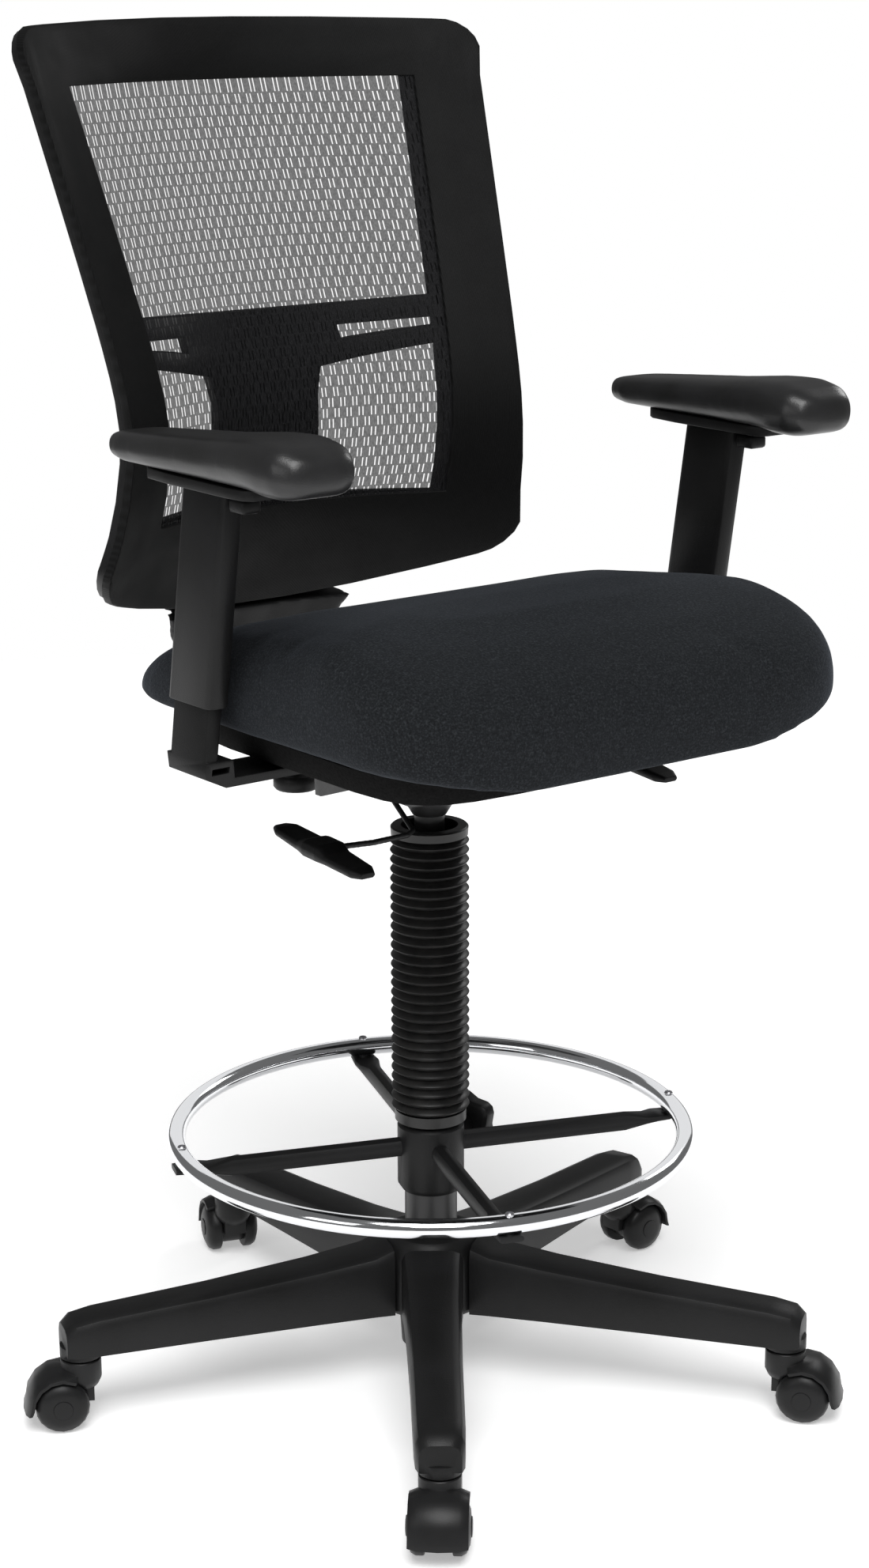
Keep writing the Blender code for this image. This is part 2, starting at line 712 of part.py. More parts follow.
# Mechanism ---------------------------------------------------------------------------------
def mechanism(parent):
    """Pressed-steel housing: a channel with a top plate and the tapered lift socket."""
    half = MECHANISM_HALF
    side = (
        (-0.1150, 0.6050), (-0.0450, MECHANISM_BOTTOM), (0.0500, MECHANISM_BOTTOM),
        (0.0900, 0.5980), (0.0900, 0.6460), (-0.1150, 0.6460),
    )
    housing = plate("mechanism_housing", side, -half, 2 * half, BLACK_STEEL, parent)
    top = box(
        "mechanism_plate", (-0.1000, -0.1200, 0.6455), (0.1000, 0.0950, MECHANISM_TOP),
        BLACK_STEEL, parent,
    )
    cone = turned(
        "lift_socket",
        [(0.0, 0.6300), (0.0290, 0.6300), (0.0290, 0.5840), (0.0245, 0.5750),
         (0.0158, 0.5605), (0.0, 0.5605)],
        BLACK_STEEL, parent, steps=28,
    )
    inside = box(
        "mechanism_inside", (-half + 0.0025, 0.0350, 0.5700), (half - 0.0025, 0.1000, 0.6420),
        BLACK_STEEL, parent,
    )
    inside_front = box(
        "mechanism_inside_front", (-half + 0.0025, -0.1100, 0.5700),
        (half - 0.0025, -0.0330, 0.6420), BLACK_STEEL, parent,
    )
    bore = turned(
        "lift_socket_bore",
        [(0.0, CYLINDER_TOP + 0.004), (CYLINDER_RADIUS + 0.0004, CYLINDER_TOP + 0.004),
         (CYLINDER_RADIUS + 0.0004, 0.5500), (0.0, 0.5500)],
        BLACK_STEEL, parent, steps=28,
    )
    axle_bore = rod(
        "tilt_axle_bore", (-0.08, TILT_PIVOT_Y, TILT_PIVOT_Z),
        (0.08, TILT_PIVOT_Y, TILT_PIVOT_Z), TILT_AXLE_RADIUS + GAP, BLACK_STEEL, parent, 16,
    )
    cut(housing, inside, inside_front)
    join(housing, cone, top)
    return cut(housing, bore, axle_bore)


def tilt_carrier(parent):
    """Fork that turns on the axle and carries the curved back bar at its rear."""
    block = box(
        "back_carrier", (-CHEEK_OUTER, 0.1000, 0.5960), (CHEEK_OUTER, 0.2400, 0.6280),
        BLACK_STEEL, parent,
    )
    outline = (
        (-0.0460, 0.5955), (-0.0230, 0.5860), (0.0340, 0.5860), (0.0880, 0.5675),
        (0.0970, 0.5675), (0.0985, 0.5900), (0.1170, 0.5960), (0.1170, 0.6280),
        (-0.0230, 0.6315), (-0.0460, 0.6245),
    )
    for side in (-1, 1):
        thickness = side * (CHEEK_OUTER - CHEEK_INNER)
        cheek = plate(
            f"cheek_{side + 2}", outline, side * CHEEK_INNER, thickness, BLACK_STEEL, parent,
        )
        join(block, cheek)
    axle_bore = rod(
        "carrier_axle_bore", (-0.08, TILT_PIVOT_Y, TILT_PIVOT_Z),
        (0.08, TILT_PIVOT_Y, TILT_PIVOT_Z), TILT_AXLE_RADIUS + GAP, BLACK_STEEL, parent, 16,
    )
    light_hole = rod(
        "carrier_light_hole", (-0.08, 0.0310, 0.6020), (0.08, 0.0310, 0.6020), 0.0032,
        BLACK_STEEL, parent, 12,
    )
    bar_way = box(
        "bar_way",
        (-BAR_HALF_WIDTH - GAP, 0.0900, BAR_HEIGHT - BAR_THICKNESS / 2 - GAP),
        (BAR_HALF_WIDTH + GAP, 0.2500, BAR_HEIGHT + BAR_THICKNESS / 2 + GAP),
        BLACK_STEEL, parent,
    )
    knob_bore = rod(
        "depth_knob_bore", (0, DEPTH_KNOB_Y, 0.58), (0, DEPTH_KNOB_Y, 0.6070), 0.0043,
        BLACK_STEEL, parent, 12,
    )
    return cut(block, axle_bore, light_hole, bar_way, knob_bore)


def tilt_axle(parent):
    """The hollow pivot tube of the back tilt."""
    return turned(
        "tilt_axle",
        [
            (0.0032, CHEEK_OUTER + 0.0030), (TILT_AXLE_RADIUS, CHEEK_OUTER + 0.0030),
            (TILT_AXLE_RADIUS, -CHEEK_OUTER - 0.0030), (0.0032, -CHEEK_OUTER - 0.0030),
        ],
        BRIGHT_STEEL, parent, steps=16, turn=(0, math.radians(90), 0),
        location=(0, TILT_PIVOT_Y, TILT_PIVOT_Z),
    )


def depth_knob(parent):
    """Round knob under the bar, on a vertical screw."""
    pivot = empty("back_depth_knob_pivot", parent, (0, DEPTH_KNOB_Y, 0.0))
    return turned(
        "back_depth_knob",
        [
            (0.0, 0.6070), (0.0040, 0.6070), (0.0040, 0.5590), (0.0090, 0.5550),
            (0.0205, 0.5540), (0.0225, 0.5515), (0.0225, 0.5420), (0.0200, 0.5390),
            (0.0, 0.5390),
        ],
        BLACK_PLASTIC, pivot, steps=24,
    )


def back_bar_line():
    """Middle line of the back bar, as (y, z): level, round the bend, then up behind the back."""
    line = [(0.1050, BAR_HEIGHT), (0.2440, BAR_HEIGHT)]
    line += arc((0.2540, BAR_HEIGHT + 0.0550), 0.0550, -90, -5, 7)
    line += [(0.3130, 0.7200), (0.3075, 0.7600), (0.3040, 0.8000), (0.3010, 0.8500)]
    return line


def back_bar(parent):
    """A flat steel bar, bent up from under the seat to the back."""
    return loft("back_bar", back_bar_rings(0.0), BLACK_STEEL, parent, round_angle=30)


def back_bar_rings(clearance):
    line = [Vector((0, y, z)) for y, z in back_bar_line()]
    rings = []
    for k, point in enumerate(line):
        before, after = line[max(k - 1, 0)], line[min(k + 1, len(line) - 1)]
        along = (after - before).normalized()
        if k == len(line) - 1:
            point = point + along * clearance
        normal = Vector((0, -along.z, along.y)) * (BAR_THICKNESS / 2 + clearance)
        wide = Vector((BAR_HALF_WIDTH + clearance, 0, 0))
        rings.append([point - wide - normal, point + wide - normal,
                      point + wide + normal, point - wide + normal])
    return rings


def cover_front(x, z):
    """Where the cover's front face lies: flush below the hoop, and behind the rear frame above."""
    if z < 0.715:
        return back_point(x, z).y
    fade = min(1.0, (z - 0.716) / 0.144)
    bow = BACK_BOW * fade * (1.0 - (x / window_half_width(z)) ** 2)
    return back_point(x, z, REAR_START + REAR_PANEL + bow + 0.0015).y


def bar_cover(parent):
    """Moulded housing behind the back: it takes the end of the bar and widens below the hoop."""
    rings = []
    for z, half, depth, spine, rear in (
        (0.6520, 0.0450, 0.0100, 0.0340, 0.3190),
        (0.6660, 0.0740, 0.0090, 0.0360, 0.3210),
        (0.6900, 0.0970, 0.0080, 0.0380, 0.3220),
        (0.7110, 0.1060, 0.0080, 0.0400, 0.3220),
        (0.7190, 0.0980, 0.0090, 0.0400, 0.3220),
        (0.7600, 0.0850, 0.0120, 0.0400, 0.3195),
        (0.8000, 0.0740, 0.0110, 0.0400, 0.3150),
        (0.8600, 0.0580, 0.0100, 0.0400, 0.3090),
    ):
        ring = []
        for share in (1.0, 0.6, 0.2, -0.2, -0.6, -1.0):
            ring.append((share * half, cover_front(share * half, z), z))
        edge = cover_front(half, z) + depth
        for x, y in ((-half, edge), (-spine, max(edge, rear - 0.004)), (-spine + 0.005, rear),
                     (spine - 0.005, rear), (spine, max(edge, rear - 0.004)), (half, edge)):
            ring.append((x, y, z))
        rings.append(ring)
    cover = loft("back_bar_cover", rings, BLACK_PLASTIC, parent)
    channel = loft("bar_channel", back_bar_rings(0.0006), BLACK_PLASTIC, parent)
    return cut(cover, channel)


def height_lever(parent):
    """Bent rod under the mechanism that ends in a two-winged paddle, on the sitter's right."""
    pivot = empty("height_lever_pivot", parent, (-0.0250, 0.0, 0.5800))
    origin = Vector((-0.0250, 0.0, 0.5800))
    route = [
        Vector((-0.0300, 0.0190, 0.5775)),
        Vector((-0.0300, -0.0060, 0.5590)),
        Vector((-0.0340, -0.0200, 0.5540)),
        Vector((-0.0480, -0.0300, 0.5545)),
        Vector((-0.1000, -0.0490, 0.5610)),
        Vector((-0.1520, -0.0600, 0.5680)),
    ]
    lever = swept(
        "height_lever", [point - origin for point in route], 0.0030, BLACK_STEEL, pivot,
    )
    paddle = paddle_solid("height_paddle", pivot, Vector((-0.1560, -0.0600, 0.5690)) - origin, -1)
    return join(lever, paddle)


def paddle_solid(name, parent, middle, side):
    """A propeller-shaped thumb paddle about 130 mm long, fore and aft."""
    rings = []
    for y, half_x, low, high in (
        (-0.0660, 0.0080, -0.0120, -0.0070),
        (-0.0560, 0.0130, -0.0125, -0.0040),
        (-0.0200, 0.0150, -0.0090, 0.0010),
        (-0.0100, 0.0170, -0.0090, 0.0070),
        (0.0100, 0.0170, -0.0080, 0.0080),
        (0.0200, 0.0150, -0.0050, 0.0050),
        (0.0560, 0.0130, 0.0005, 0.0085),
        (0.0660, 0.0080, 0.0025, 0.0080),
    ):
        ring = []
        for x, z in rounded(half_x, (high - low) / 2, (high - low) * 0.4):
            ring.append(middle + Vector((side * 0.006 + x, y, (high + low) / 2 + z)))
        rings.append(ring)
    return loft(name, rings, BLACK_PLASTIC, parent)


def tilt_lever(parent):
    """Rod and paddle on the sitter's left, which unlocks the back tilt."""
    origin = Vector((MECHANISM_HALF, -0.0700, 0.6120))
    pivot = empty("tilt_lever_pivot", parent, origin)
    route = [
        Vector((MECHANISM_HALF + 0.0010, -0.0700, 0.6120)),
        Vector((0.0700, -0.0700, 0.6100)),
        Vector((0.1100, -0.0700, 0.6060)),
        Vector((0.1700, -0.0640, 0.6000)),
    ]
    lever = swept("tilt_lever", [point - origin for point in route], 0.0030, BLACK_STEEL, pivot)
    return join(lever, paddle_solid("tilt_paddle", pivot, Vector((0.1760, -0.0620, 0.5990)) - origin, 1))


def tension_knob(parent):
    """Knob recessed in the front of the housing that sets the tilt spring's force."""
    pivot = empty("tension_knob_pivot", parent, (0, -0.0820, 0.0))
    return turned(
        "tension_knob",
        [
            (0.0, 0.6400), (0.0040, 0.6400), (0.0040, 0.6200), (0.0150, 0.6180),
            (0.0170, 0.6150), (0.0170, 0.6020), (0.0140, 0.5990), (0.0, 0.5990),
        ],
        BLACK_PLASTIC, pivot, steps=20,
    )


# Seat --------------------------------------------------------------------------------------
def seat_outline(inset, count=36):
    """Plan of the seat: a square with rounded corners, as a superellipse."""
    half = SEAT_HALF_WIDTH - inset
    half_y = (SEAT_REAR - SEAT_FRONT) / 2 - inset
    middle = (SEAT_REAR + SEAT_FRONT) / 2
    points = []
    for k in range(count):
        angle = 2 * math.pi * (k + 0.5) / count
        c, s = math.cos(angle), math.sin(angle)
        power = 2.0 / 6.5
        x = half * math.copysign(abs(c) ** power, c)
        y = half_y * math.copysign(abs(s) ** power, s)
        points.append((x, middle + y))
    return points


def seat_top(y):
    """Height of the cushion's middle line: it falls gently to the rear and rolls off in front."""
    behind = max(0.0, y + 0.150)
    ahead = max(0.0, -0.150 - y) / 0.150
    return SEAT_TOP - 0.0213 * behind - 0.827 * behind ** 2 - 0.0368 * ahead ** 2


def seat_lip(x, y):
    """How far the front lip hangs below the pan."""
    ahead = max(0.0, -0.150 - y) / 0.150
    return 0.0320 * ahead ** 2 * (1.0 - 1.1 * (x / SEAT_HALF_WIDTH) ** 2)


def seat_cushion(parent):
    low = PAN_TOP + GAP
    rings = []
    for inset, lip, level in (
        (0.034, 0.00, 0.00), (0.022, 0.75, 0.00), (0.008, 1.00, 0.04), (0.000, 0.85, 0.20),
        (0.000, 0.55, 0.45), (0.003, 0.30, 0.65), (0.012, 0.10, 0.83), (0.030, 0.00, 0.93),
        (0.070, 0.00, 0.98), (0.130, 0.00, 1.00), (0.200, 0.00, 1.00),
    ):
        ring = []
        for x, y in seat_outline(inset):
            z = low + (seat_top(y) - low) * level - seat_lip(x, y) * lip
            ring.append((x, y, z))
        rings.append(ring)
    return loft("seat_cushion", rings, CHARCOAL_CLOTH, parent, round_angle=80)


def seat_pan(parent):
    rings = []
    for inset, z in ((0.060, PAN_BOTTOM), (0.050, PAN_BOTTOM + 0.003), (0.038, PAN_TOP)):
        rings.append([(x, y, z) for x, y in seat_outline(inset, 28)])
    return loft("seat_pan", rings, BLACK_PLASTIC, parent)


# Armrests ----------------------------------------------------------------------------------
def arm_rest(side, word, parent):
    """One armrest: a bracket under the seat, and a sleeve that slides up its upright."""
    arm_bracket(side, word, parent)
    lift = empty(f"arm_{word}_lift", parent, (side * ARM_REST_X, SLEEVE_LOW.y, SLEEVE_LOW.z))
    base = Vector((0, SLEEVE_LOW.y, SLEEVE_LOW.z))
    rings = []
    for point in (SLEEVE_LOW, SLEEVE_HIGH):
        ring = rounded(SLEEVE_HALF_X, SLEEVE_HALF_Y, 0.008)
        rings.append([Vector((x, y, 0)) + point - base for x, y in ring])
    sleeve = loft(f"arm_{word}_sleeve", rings, SATIN_PLASTIC, lift)
    along = (SLEEVE_HIGH - SLEEVE_LOW).normalized()
    rings = []
    for point in (SLEEVE_LOW - along * 0.02, SLEEVE_LOW + along * 0.172):
        ring = rounded(UPRIGHT_HALF_X + 0.0006, UPRIGHT_HALF_Y + 0.0006, 0.0046)
        rings.append([Vector((x, y, 0)) + point - base for x, y in ring])
    cut(sleeve, loft(f"arm_{word}_way", rings, SATIN_PLASTIC, lift))
    top = SLEEVE_HIGH - base
    rings = []
    for y, half in (
        (0.0000, 0.0160), (-0.0100, 0.0220), (-0.0450, 0.0255), (-0.1300, 0.0270),
        (-0.1550, 0.0250), (-0.1630, 0.0180),
    ):
        ring = []
        for x, z in ((half, SLEEVE_HIGH.z + GAP), (half, PAD_BOTTOM - GAP)):
            ring.append((x, y - base.y, z - base.z))
        for x, z in ((-half, PAD_BOTTOM - GAP), (-half, SLEEVE_HIGH.z + GAP)):
            ring.append((x, y - base.y, z - base.z))
        rings.append(ring)
    loft(f"arm_{word}_pad_plate", rings, BLACK_PLASTIC, lift)
    arm_pad(side, word, lift, base)
    arm_button(word, lift, top)


def arm_pad(side, word, parent, base):
    """Soft pad: narrow at the rear, widening to a front lobe that rolls down."""
    sections = (
        (0.0550, 0.0150, 0.9195, 0.9310),
        (0.0480, 0.0250, 0.9145, 0.9360),
        (0.0280, 0.0300, PAD_BOTTOM, 0.9385),
        (-0.0200, 0.0325, PAD_BOTTOM, 0.9425),
        (-0.1000, 0.0350, PAD_BOTTOM, 0.9490),
        (-0.1500, 0.0395, PAD_BOTTOM, 0.9545),
        (-0.1680, 0.0415, PAD_BOTTOM, 0.9555),
        (-0.1880, 0.0425, 0.9095, 0.9560),
        (-0.2100, 0.0405, 0.9095, 0.9520),
        (-0.2250, 0.0310, 0.9130, 0.9450),
        (-0.2310, 0.0170, 0.9190, 0.9380),
    )
    rings = []
    for y, half, low, high in sections:
        ring = []
        for x, z in rounded(half, (high - low) / 2, (high - low) * 0.42, per_corner=4):
            inward = -side * 0.006 * max(0.0, (-0.080 - y) / 0.150)
            ring.append((x + inward, y - base.y, (high + low) / 2 + z - base.z))
        rings.append(ring)
    return loft(f"arm_{word}_pad", rings, SOFT_PAD, parent, round_angle=70)


def arm_button(word, parent, top):
    """Trigger under the plate, just ahead of the sleeve."""
    button = box(
        f"arm_{word}_button",
        (-0.0095, top.y - SLEEVE_HALF_Y - 0.0230, top.z - 0.0160),
        (0.0095, top.y - SLEEVE_HALF_Y - 0.0010, top.z - 0.0040),
        SATIN_PLASTIC, parent,
    )
    return bevel(button, 0.003, 2)


def arm_bracket(side, word, parent):
    """Upright and flat foot of an armrest, in one piece, with a slot beside the upright."""
    along = (SLEEVE_HIGH - SLEEVE_LOW).normalized()
    foot = SLEEVE_LOW - along * ((SLEEVE_LOW.z - 0.6620) / along.z)
    head = SLEEVE_LOW + along * 0.158
    rings = []
    for point in (foot, head):
        ring = rounded(UPRIGHT_HALF_X, UPRIGHT_HALF_Y, 0.004)
        rings.append([Vector((x + side * ARM_REST_X, y, 0)) + point for x, y in ring])
    bracket = loft(f"arm_{word}_bracket", rings, BLACK_STEEL, parent)
    outline = (
        (UPRIGHT_HALF_X, 0.6660, 1.00), (UPRIGHT_HALF_X, 0.6520, 0.92),
        (-0.0150, 0.6410, 0.85), (-0.1600, 0.6410, 0.85), (-0.1600, 0.6490, 0.85),
        (-0.0240, 0.6490, 0.85), (-0.0200, 0.6660, 1.00),
    )
    rings = []
    for end in (-1, 1):
        ring = []
        for x, z, share in outline:
            y = foot.y + end * (UPRIGHT_HALF_Y + 0.003) * share
            ring.append((side * (ARM_REST_X + x), y, z))
        rings.append(ring)
    shoe = loft(f"arm_{word}_shoe", rings, BLACK_STEEL, parent)
    slot_low = (side * (ARM_REST_X - 0.0170), foot.y - 0.06, 0.6545)
    slot_high = (side * (ARM_REST_X + 0.0010), foot.y + 0.06, 0.6600)
    slot = box(
        f"arm_{word}_slot",
        [min(a, b) for a, b in zip(slot_low, slot_high)],
        [max(a, b) for a, b in zip(slot_low, slot_high)],
        BLACK_STEEL, parent,
    )
    join(bracket, shoe)
    return cut(bracket, slot)


# Back --------------------------------------------------------------------------------------
def back_half_width(z):
    return 0.2208 + soft_bend(z - 0.915, 0.1090, 0.130, 0.050)


def window_half_width(z):
    return 0.1620 + soft_bend(z - BACK_WAIST, 0.119, 0.056, 0.050)


def back_point(x, z, behind=0.0):
    """A point on the back's front surface, or a distance behind it."""
    middle = 0.2098 + (
        soft_bend(z - BACK_WAIST, 0.452, 0.0, 0.051) + soft_bend(z - BACK_WAIST, 0.0, 0.74, 0.14)
    )
    return Vector((x, middle - BACK_WING * x * x + behind, z))


def back_height(x, z, inset):
    """Stretches a grid row to the back's arched top and bottom edges and round corners."""
    corner = BACK_CORNER
    over = max(0.0, abs(x) - (back_half_width(z) - inset - corner))
    drop = corner - math.sqrt(max(0.0, corner * corner - over * over))
    if z > WINDOW_TOP:
        edge = BACK_TOP + 0.004 - 0.075 * x * x - inset - drop
        share = (z - WINDOW_TOP) / (BACK_TOP - WINDOW_TOP)
        return WINDOW_TOP + share * (edge - WINDOW_TOP)
    if z < WINDOW_BOTTOM:
        edge = BACK_BOTTOM - 0.041 + 0.78 * x * x + inset + drop
        share = (WINDOW_BOTTOM - z) / (WINDOW_BOTTOM - BACK_BOTTOM)
        return WINDOW_BOTTOM - share * (WINDOW_BOTTOM - edge)
    return z


def back_place(behind, inset=0.0, bow=0.0, spine=1.0):
    """Maps a grid corner to the back: its kind of column with a share, and its row's height."""

    def place(column, row):
        kind, share = column
        window = window_half_width(row)
        if kind == "window":
            if abs(share) == 1.0:
                flare = 0.030 * min(1.0, max(0.0, (row - 0.935) / 0.030))
                x = share * (spine + flare)
            else:
                x = share * window
        else:
            edge = back_half_width(row) - inset
            side = math.copysign(1.0, share)
            x = side * (window + (edge - window) * (abs(share) - 1.0))
        z = back_height(x, row, inset)
        fade = min(1.0, max(0.0, (z - 0.716) / 0.144)) * min(1.0, (BACK_TOP - z) / 0.16)
        depth = bow * fade * max(0.0, 1.0 - (x / window) ** 2)
        return back_point(x, z, behind + depth)

    return place


def back_columns(inner):
    """Columns of the back's grid: inner ones as shares of the window, then the border."""
    left = [("border", -share) for share in reversed(BORDER)]
    right = [("border", share) for share in BORDER]
    return left + [("window", share) for share in inner] + right


BACK_ROWS = [
    BACK_BOTTOM, 0.768, 0.784, 0.800, WINDOW_BOTTOM, 0.850, 0.885, 0.915, 0.940, 0.961, 0.986,
    1.006, 1.060, 1.110, 1.160, WINDOW_TOP, 1.236, 1.255, BACK_TOP,
]


def front_frame(parent):
    """The hoop that the mesh cloth is stretched over."""
    columns = back_columns([-0.6, -0.2, 0.2, 0.6])
    low, high = BACK_ROWS.index(WINDOW_BOTTOM), BACK_ROWS.index(WINDOW_TOP)

    def keep(row, column):
        middle = len(BORDER) - 1 <= column < len(columns) - len(BORDER)
        return not (middle and low <= row < high)

    return shell(
        "back_front_frame", columns, BACK_ROWS, back_place(0.0), keep, BACK_PANEL,
        BLACK_PLASTIC, parent,
    )


def mesh_panel(parent):
    """The stretched mesh in the window of the hoop."""
    rows = [z for z in BACK_ROWS if WINDOW_BOTTOM <= z <= WINDOW_TOP]
    rows[0] += 0.0010
    rows[-1] -= 0.0010

    def place(column, row):
        return back_point(column * (window_half_width(row) - 0.001), row, 0.0015)

    columns = [-1.0, -0.75, -0.5, -0.25, 0.0, 0.25, 0.5, 0.75, 1.0]
    return shell(
        "back_mesh", columns, rows, place, lambda row, column: True, 0.002, BLACK_MESH, parent,
    )


def rear_frame(parent):
    """Moulded carrier behind the hoop: rim, bowed cross bar, spine and two sloping braces."""
    columns = back_columns([-0.8, -0.6, -1.0, -0.15, 0.15, 1.0, 0.6, 0.8])
    rows = BACK_ROWS
    bar_low, bar_high = rows.index(0.986), rows.index(1.006)
    brace_low, brace_high = rows.index(0.940), rows.index(0.961)
    low, high = rows.index(WINDOW_BOTTOM), rows.index(WINDOW_TOP)
    first, last = len(BORDER) - 1, len(columns) - len(BORDER) - 1
    spine_first, spine_last = first + 3, last - 3
    plain = back_place(REAR_START, 0.004, BACK_BOW, 0.058)

    def place(column, row):
        point = plain(column, row)
        reach = abs(point.x) / window_half_width(row)
        if row in (0.940, 0.961) and reach <= 1.001:
            rise = 0.022 if row == 0.940 else 0.017
            point = plain(column, row + rise * max(0.0, (reach - 0.36) / 0.64))
        if row in (0.986, 1.006) and reach < 1.0:
            point.z -= 0.010 * (1.0 - reach ** 2)
        return point

    def keep(row, column):
        if not (first <= column <= last and low <= row < high):
            return True
        if bar_low <= row < bar_high:
            return True
        if row >= bar_high:
            return False
        in_spine = spine_first <= column <= spine_last
        return in_spine or brace_low <= row < brace_high

    return shell(
        "back_rear_frame", columns, rows, place, keep, REAR_PANEL, BLACK_PLASTIC, parent,
    )


# The chair ---------------------------------------------------------------------------------
def main():
    frame = empty("chair_frame", None, (0, COLUMN_Y, -FLOOR))
    star_base(frame)
    for k in range(ARM_COUNT):
        caster(k + 1, frame, math.radians(180 + 72 * k))
    outer_tube(frame)
    piston(frame)
    bellows(frame)
    cylinder(frame)
    foot_ring(frame)
    ring_spider(frame)
    ring_knob(frame)
    mechanism(frame)
    tilt_axle(frame)
    tilt_carrier(frame)
    depth_knob(frame)
    back_bar(frame)
    bar_cover(frame)
    height_lever(frame)
    tilt_lever(frame)
    tension_knob(frame)
    seat_pan(frame)
    seat_cushion(frame)
    for side, word in ((-1, "right"), (1, "left")):
        arm_rest(side, word, frame)
    front_frame(frame)
    mesh_panel(frame)
    rear_frame(frame)


main()
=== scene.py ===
"""Looks of the drafting chair: materials, cloth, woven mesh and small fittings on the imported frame."""

import json
import math

import bmesh
import bpy
from mathutils import Matrix, Vector
from mathutils.bvhtree import BVHTree


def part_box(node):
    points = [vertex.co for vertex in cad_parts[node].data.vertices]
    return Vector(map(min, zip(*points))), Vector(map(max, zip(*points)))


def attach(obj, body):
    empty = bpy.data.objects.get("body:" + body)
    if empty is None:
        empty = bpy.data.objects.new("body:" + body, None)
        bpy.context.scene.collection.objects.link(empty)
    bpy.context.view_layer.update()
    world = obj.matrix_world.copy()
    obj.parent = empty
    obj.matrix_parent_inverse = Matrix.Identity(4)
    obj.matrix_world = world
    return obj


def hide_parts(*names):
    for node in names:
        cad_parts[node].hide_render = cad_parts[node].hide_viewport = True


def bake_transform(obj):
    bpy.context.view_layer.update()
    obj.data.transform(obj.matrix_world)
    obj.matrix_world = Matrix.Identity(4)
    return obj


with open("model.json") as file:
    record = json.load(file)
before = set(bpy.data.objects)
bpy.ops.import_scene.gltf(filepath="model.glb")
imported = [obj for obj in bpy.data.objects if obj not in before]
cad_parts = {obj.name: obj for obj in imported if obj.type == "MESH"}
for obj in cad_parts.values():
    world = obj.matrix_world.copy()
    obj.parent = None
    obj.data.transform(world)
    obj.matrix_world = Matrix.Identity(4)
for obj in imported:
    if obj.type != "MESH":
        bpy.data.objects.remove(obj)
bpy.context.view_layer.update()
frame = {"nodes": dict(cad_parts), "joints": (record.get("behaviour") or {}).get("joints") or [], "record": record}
NODES = frame["nodes"]
BODIES = {node: body for body, members in frame["record"]["behaviour"]["bodies"].items() for node in members}
COLUMN_Y = -0.030  # the gas lift stands a little ahead of the middle of the footprint
WORDS = ("right", "left")
CASTERS = range(1, 6)
SPOKE_FIRST = math.radians(-20.5)  # the four spokes of the foot ring start here, 90 degrees apart
FLOOR_RADIUS = 3.2
CAMERA_PLACE = (-1.662, -2.226, 1.316)
CAMERA_AZIMUTH, CAMERA_PITCH, CAMERA_ROLL = (math.radians(angle) for angle in (37.13, 14.92, 0.241))
CAMERA_LENS, CAMERA_SENSOR, CAMERA_SHIFT = 71.26, 36.0, 0.003
WORLD_DIM = 0.16  # the world as everything but the camera sees it


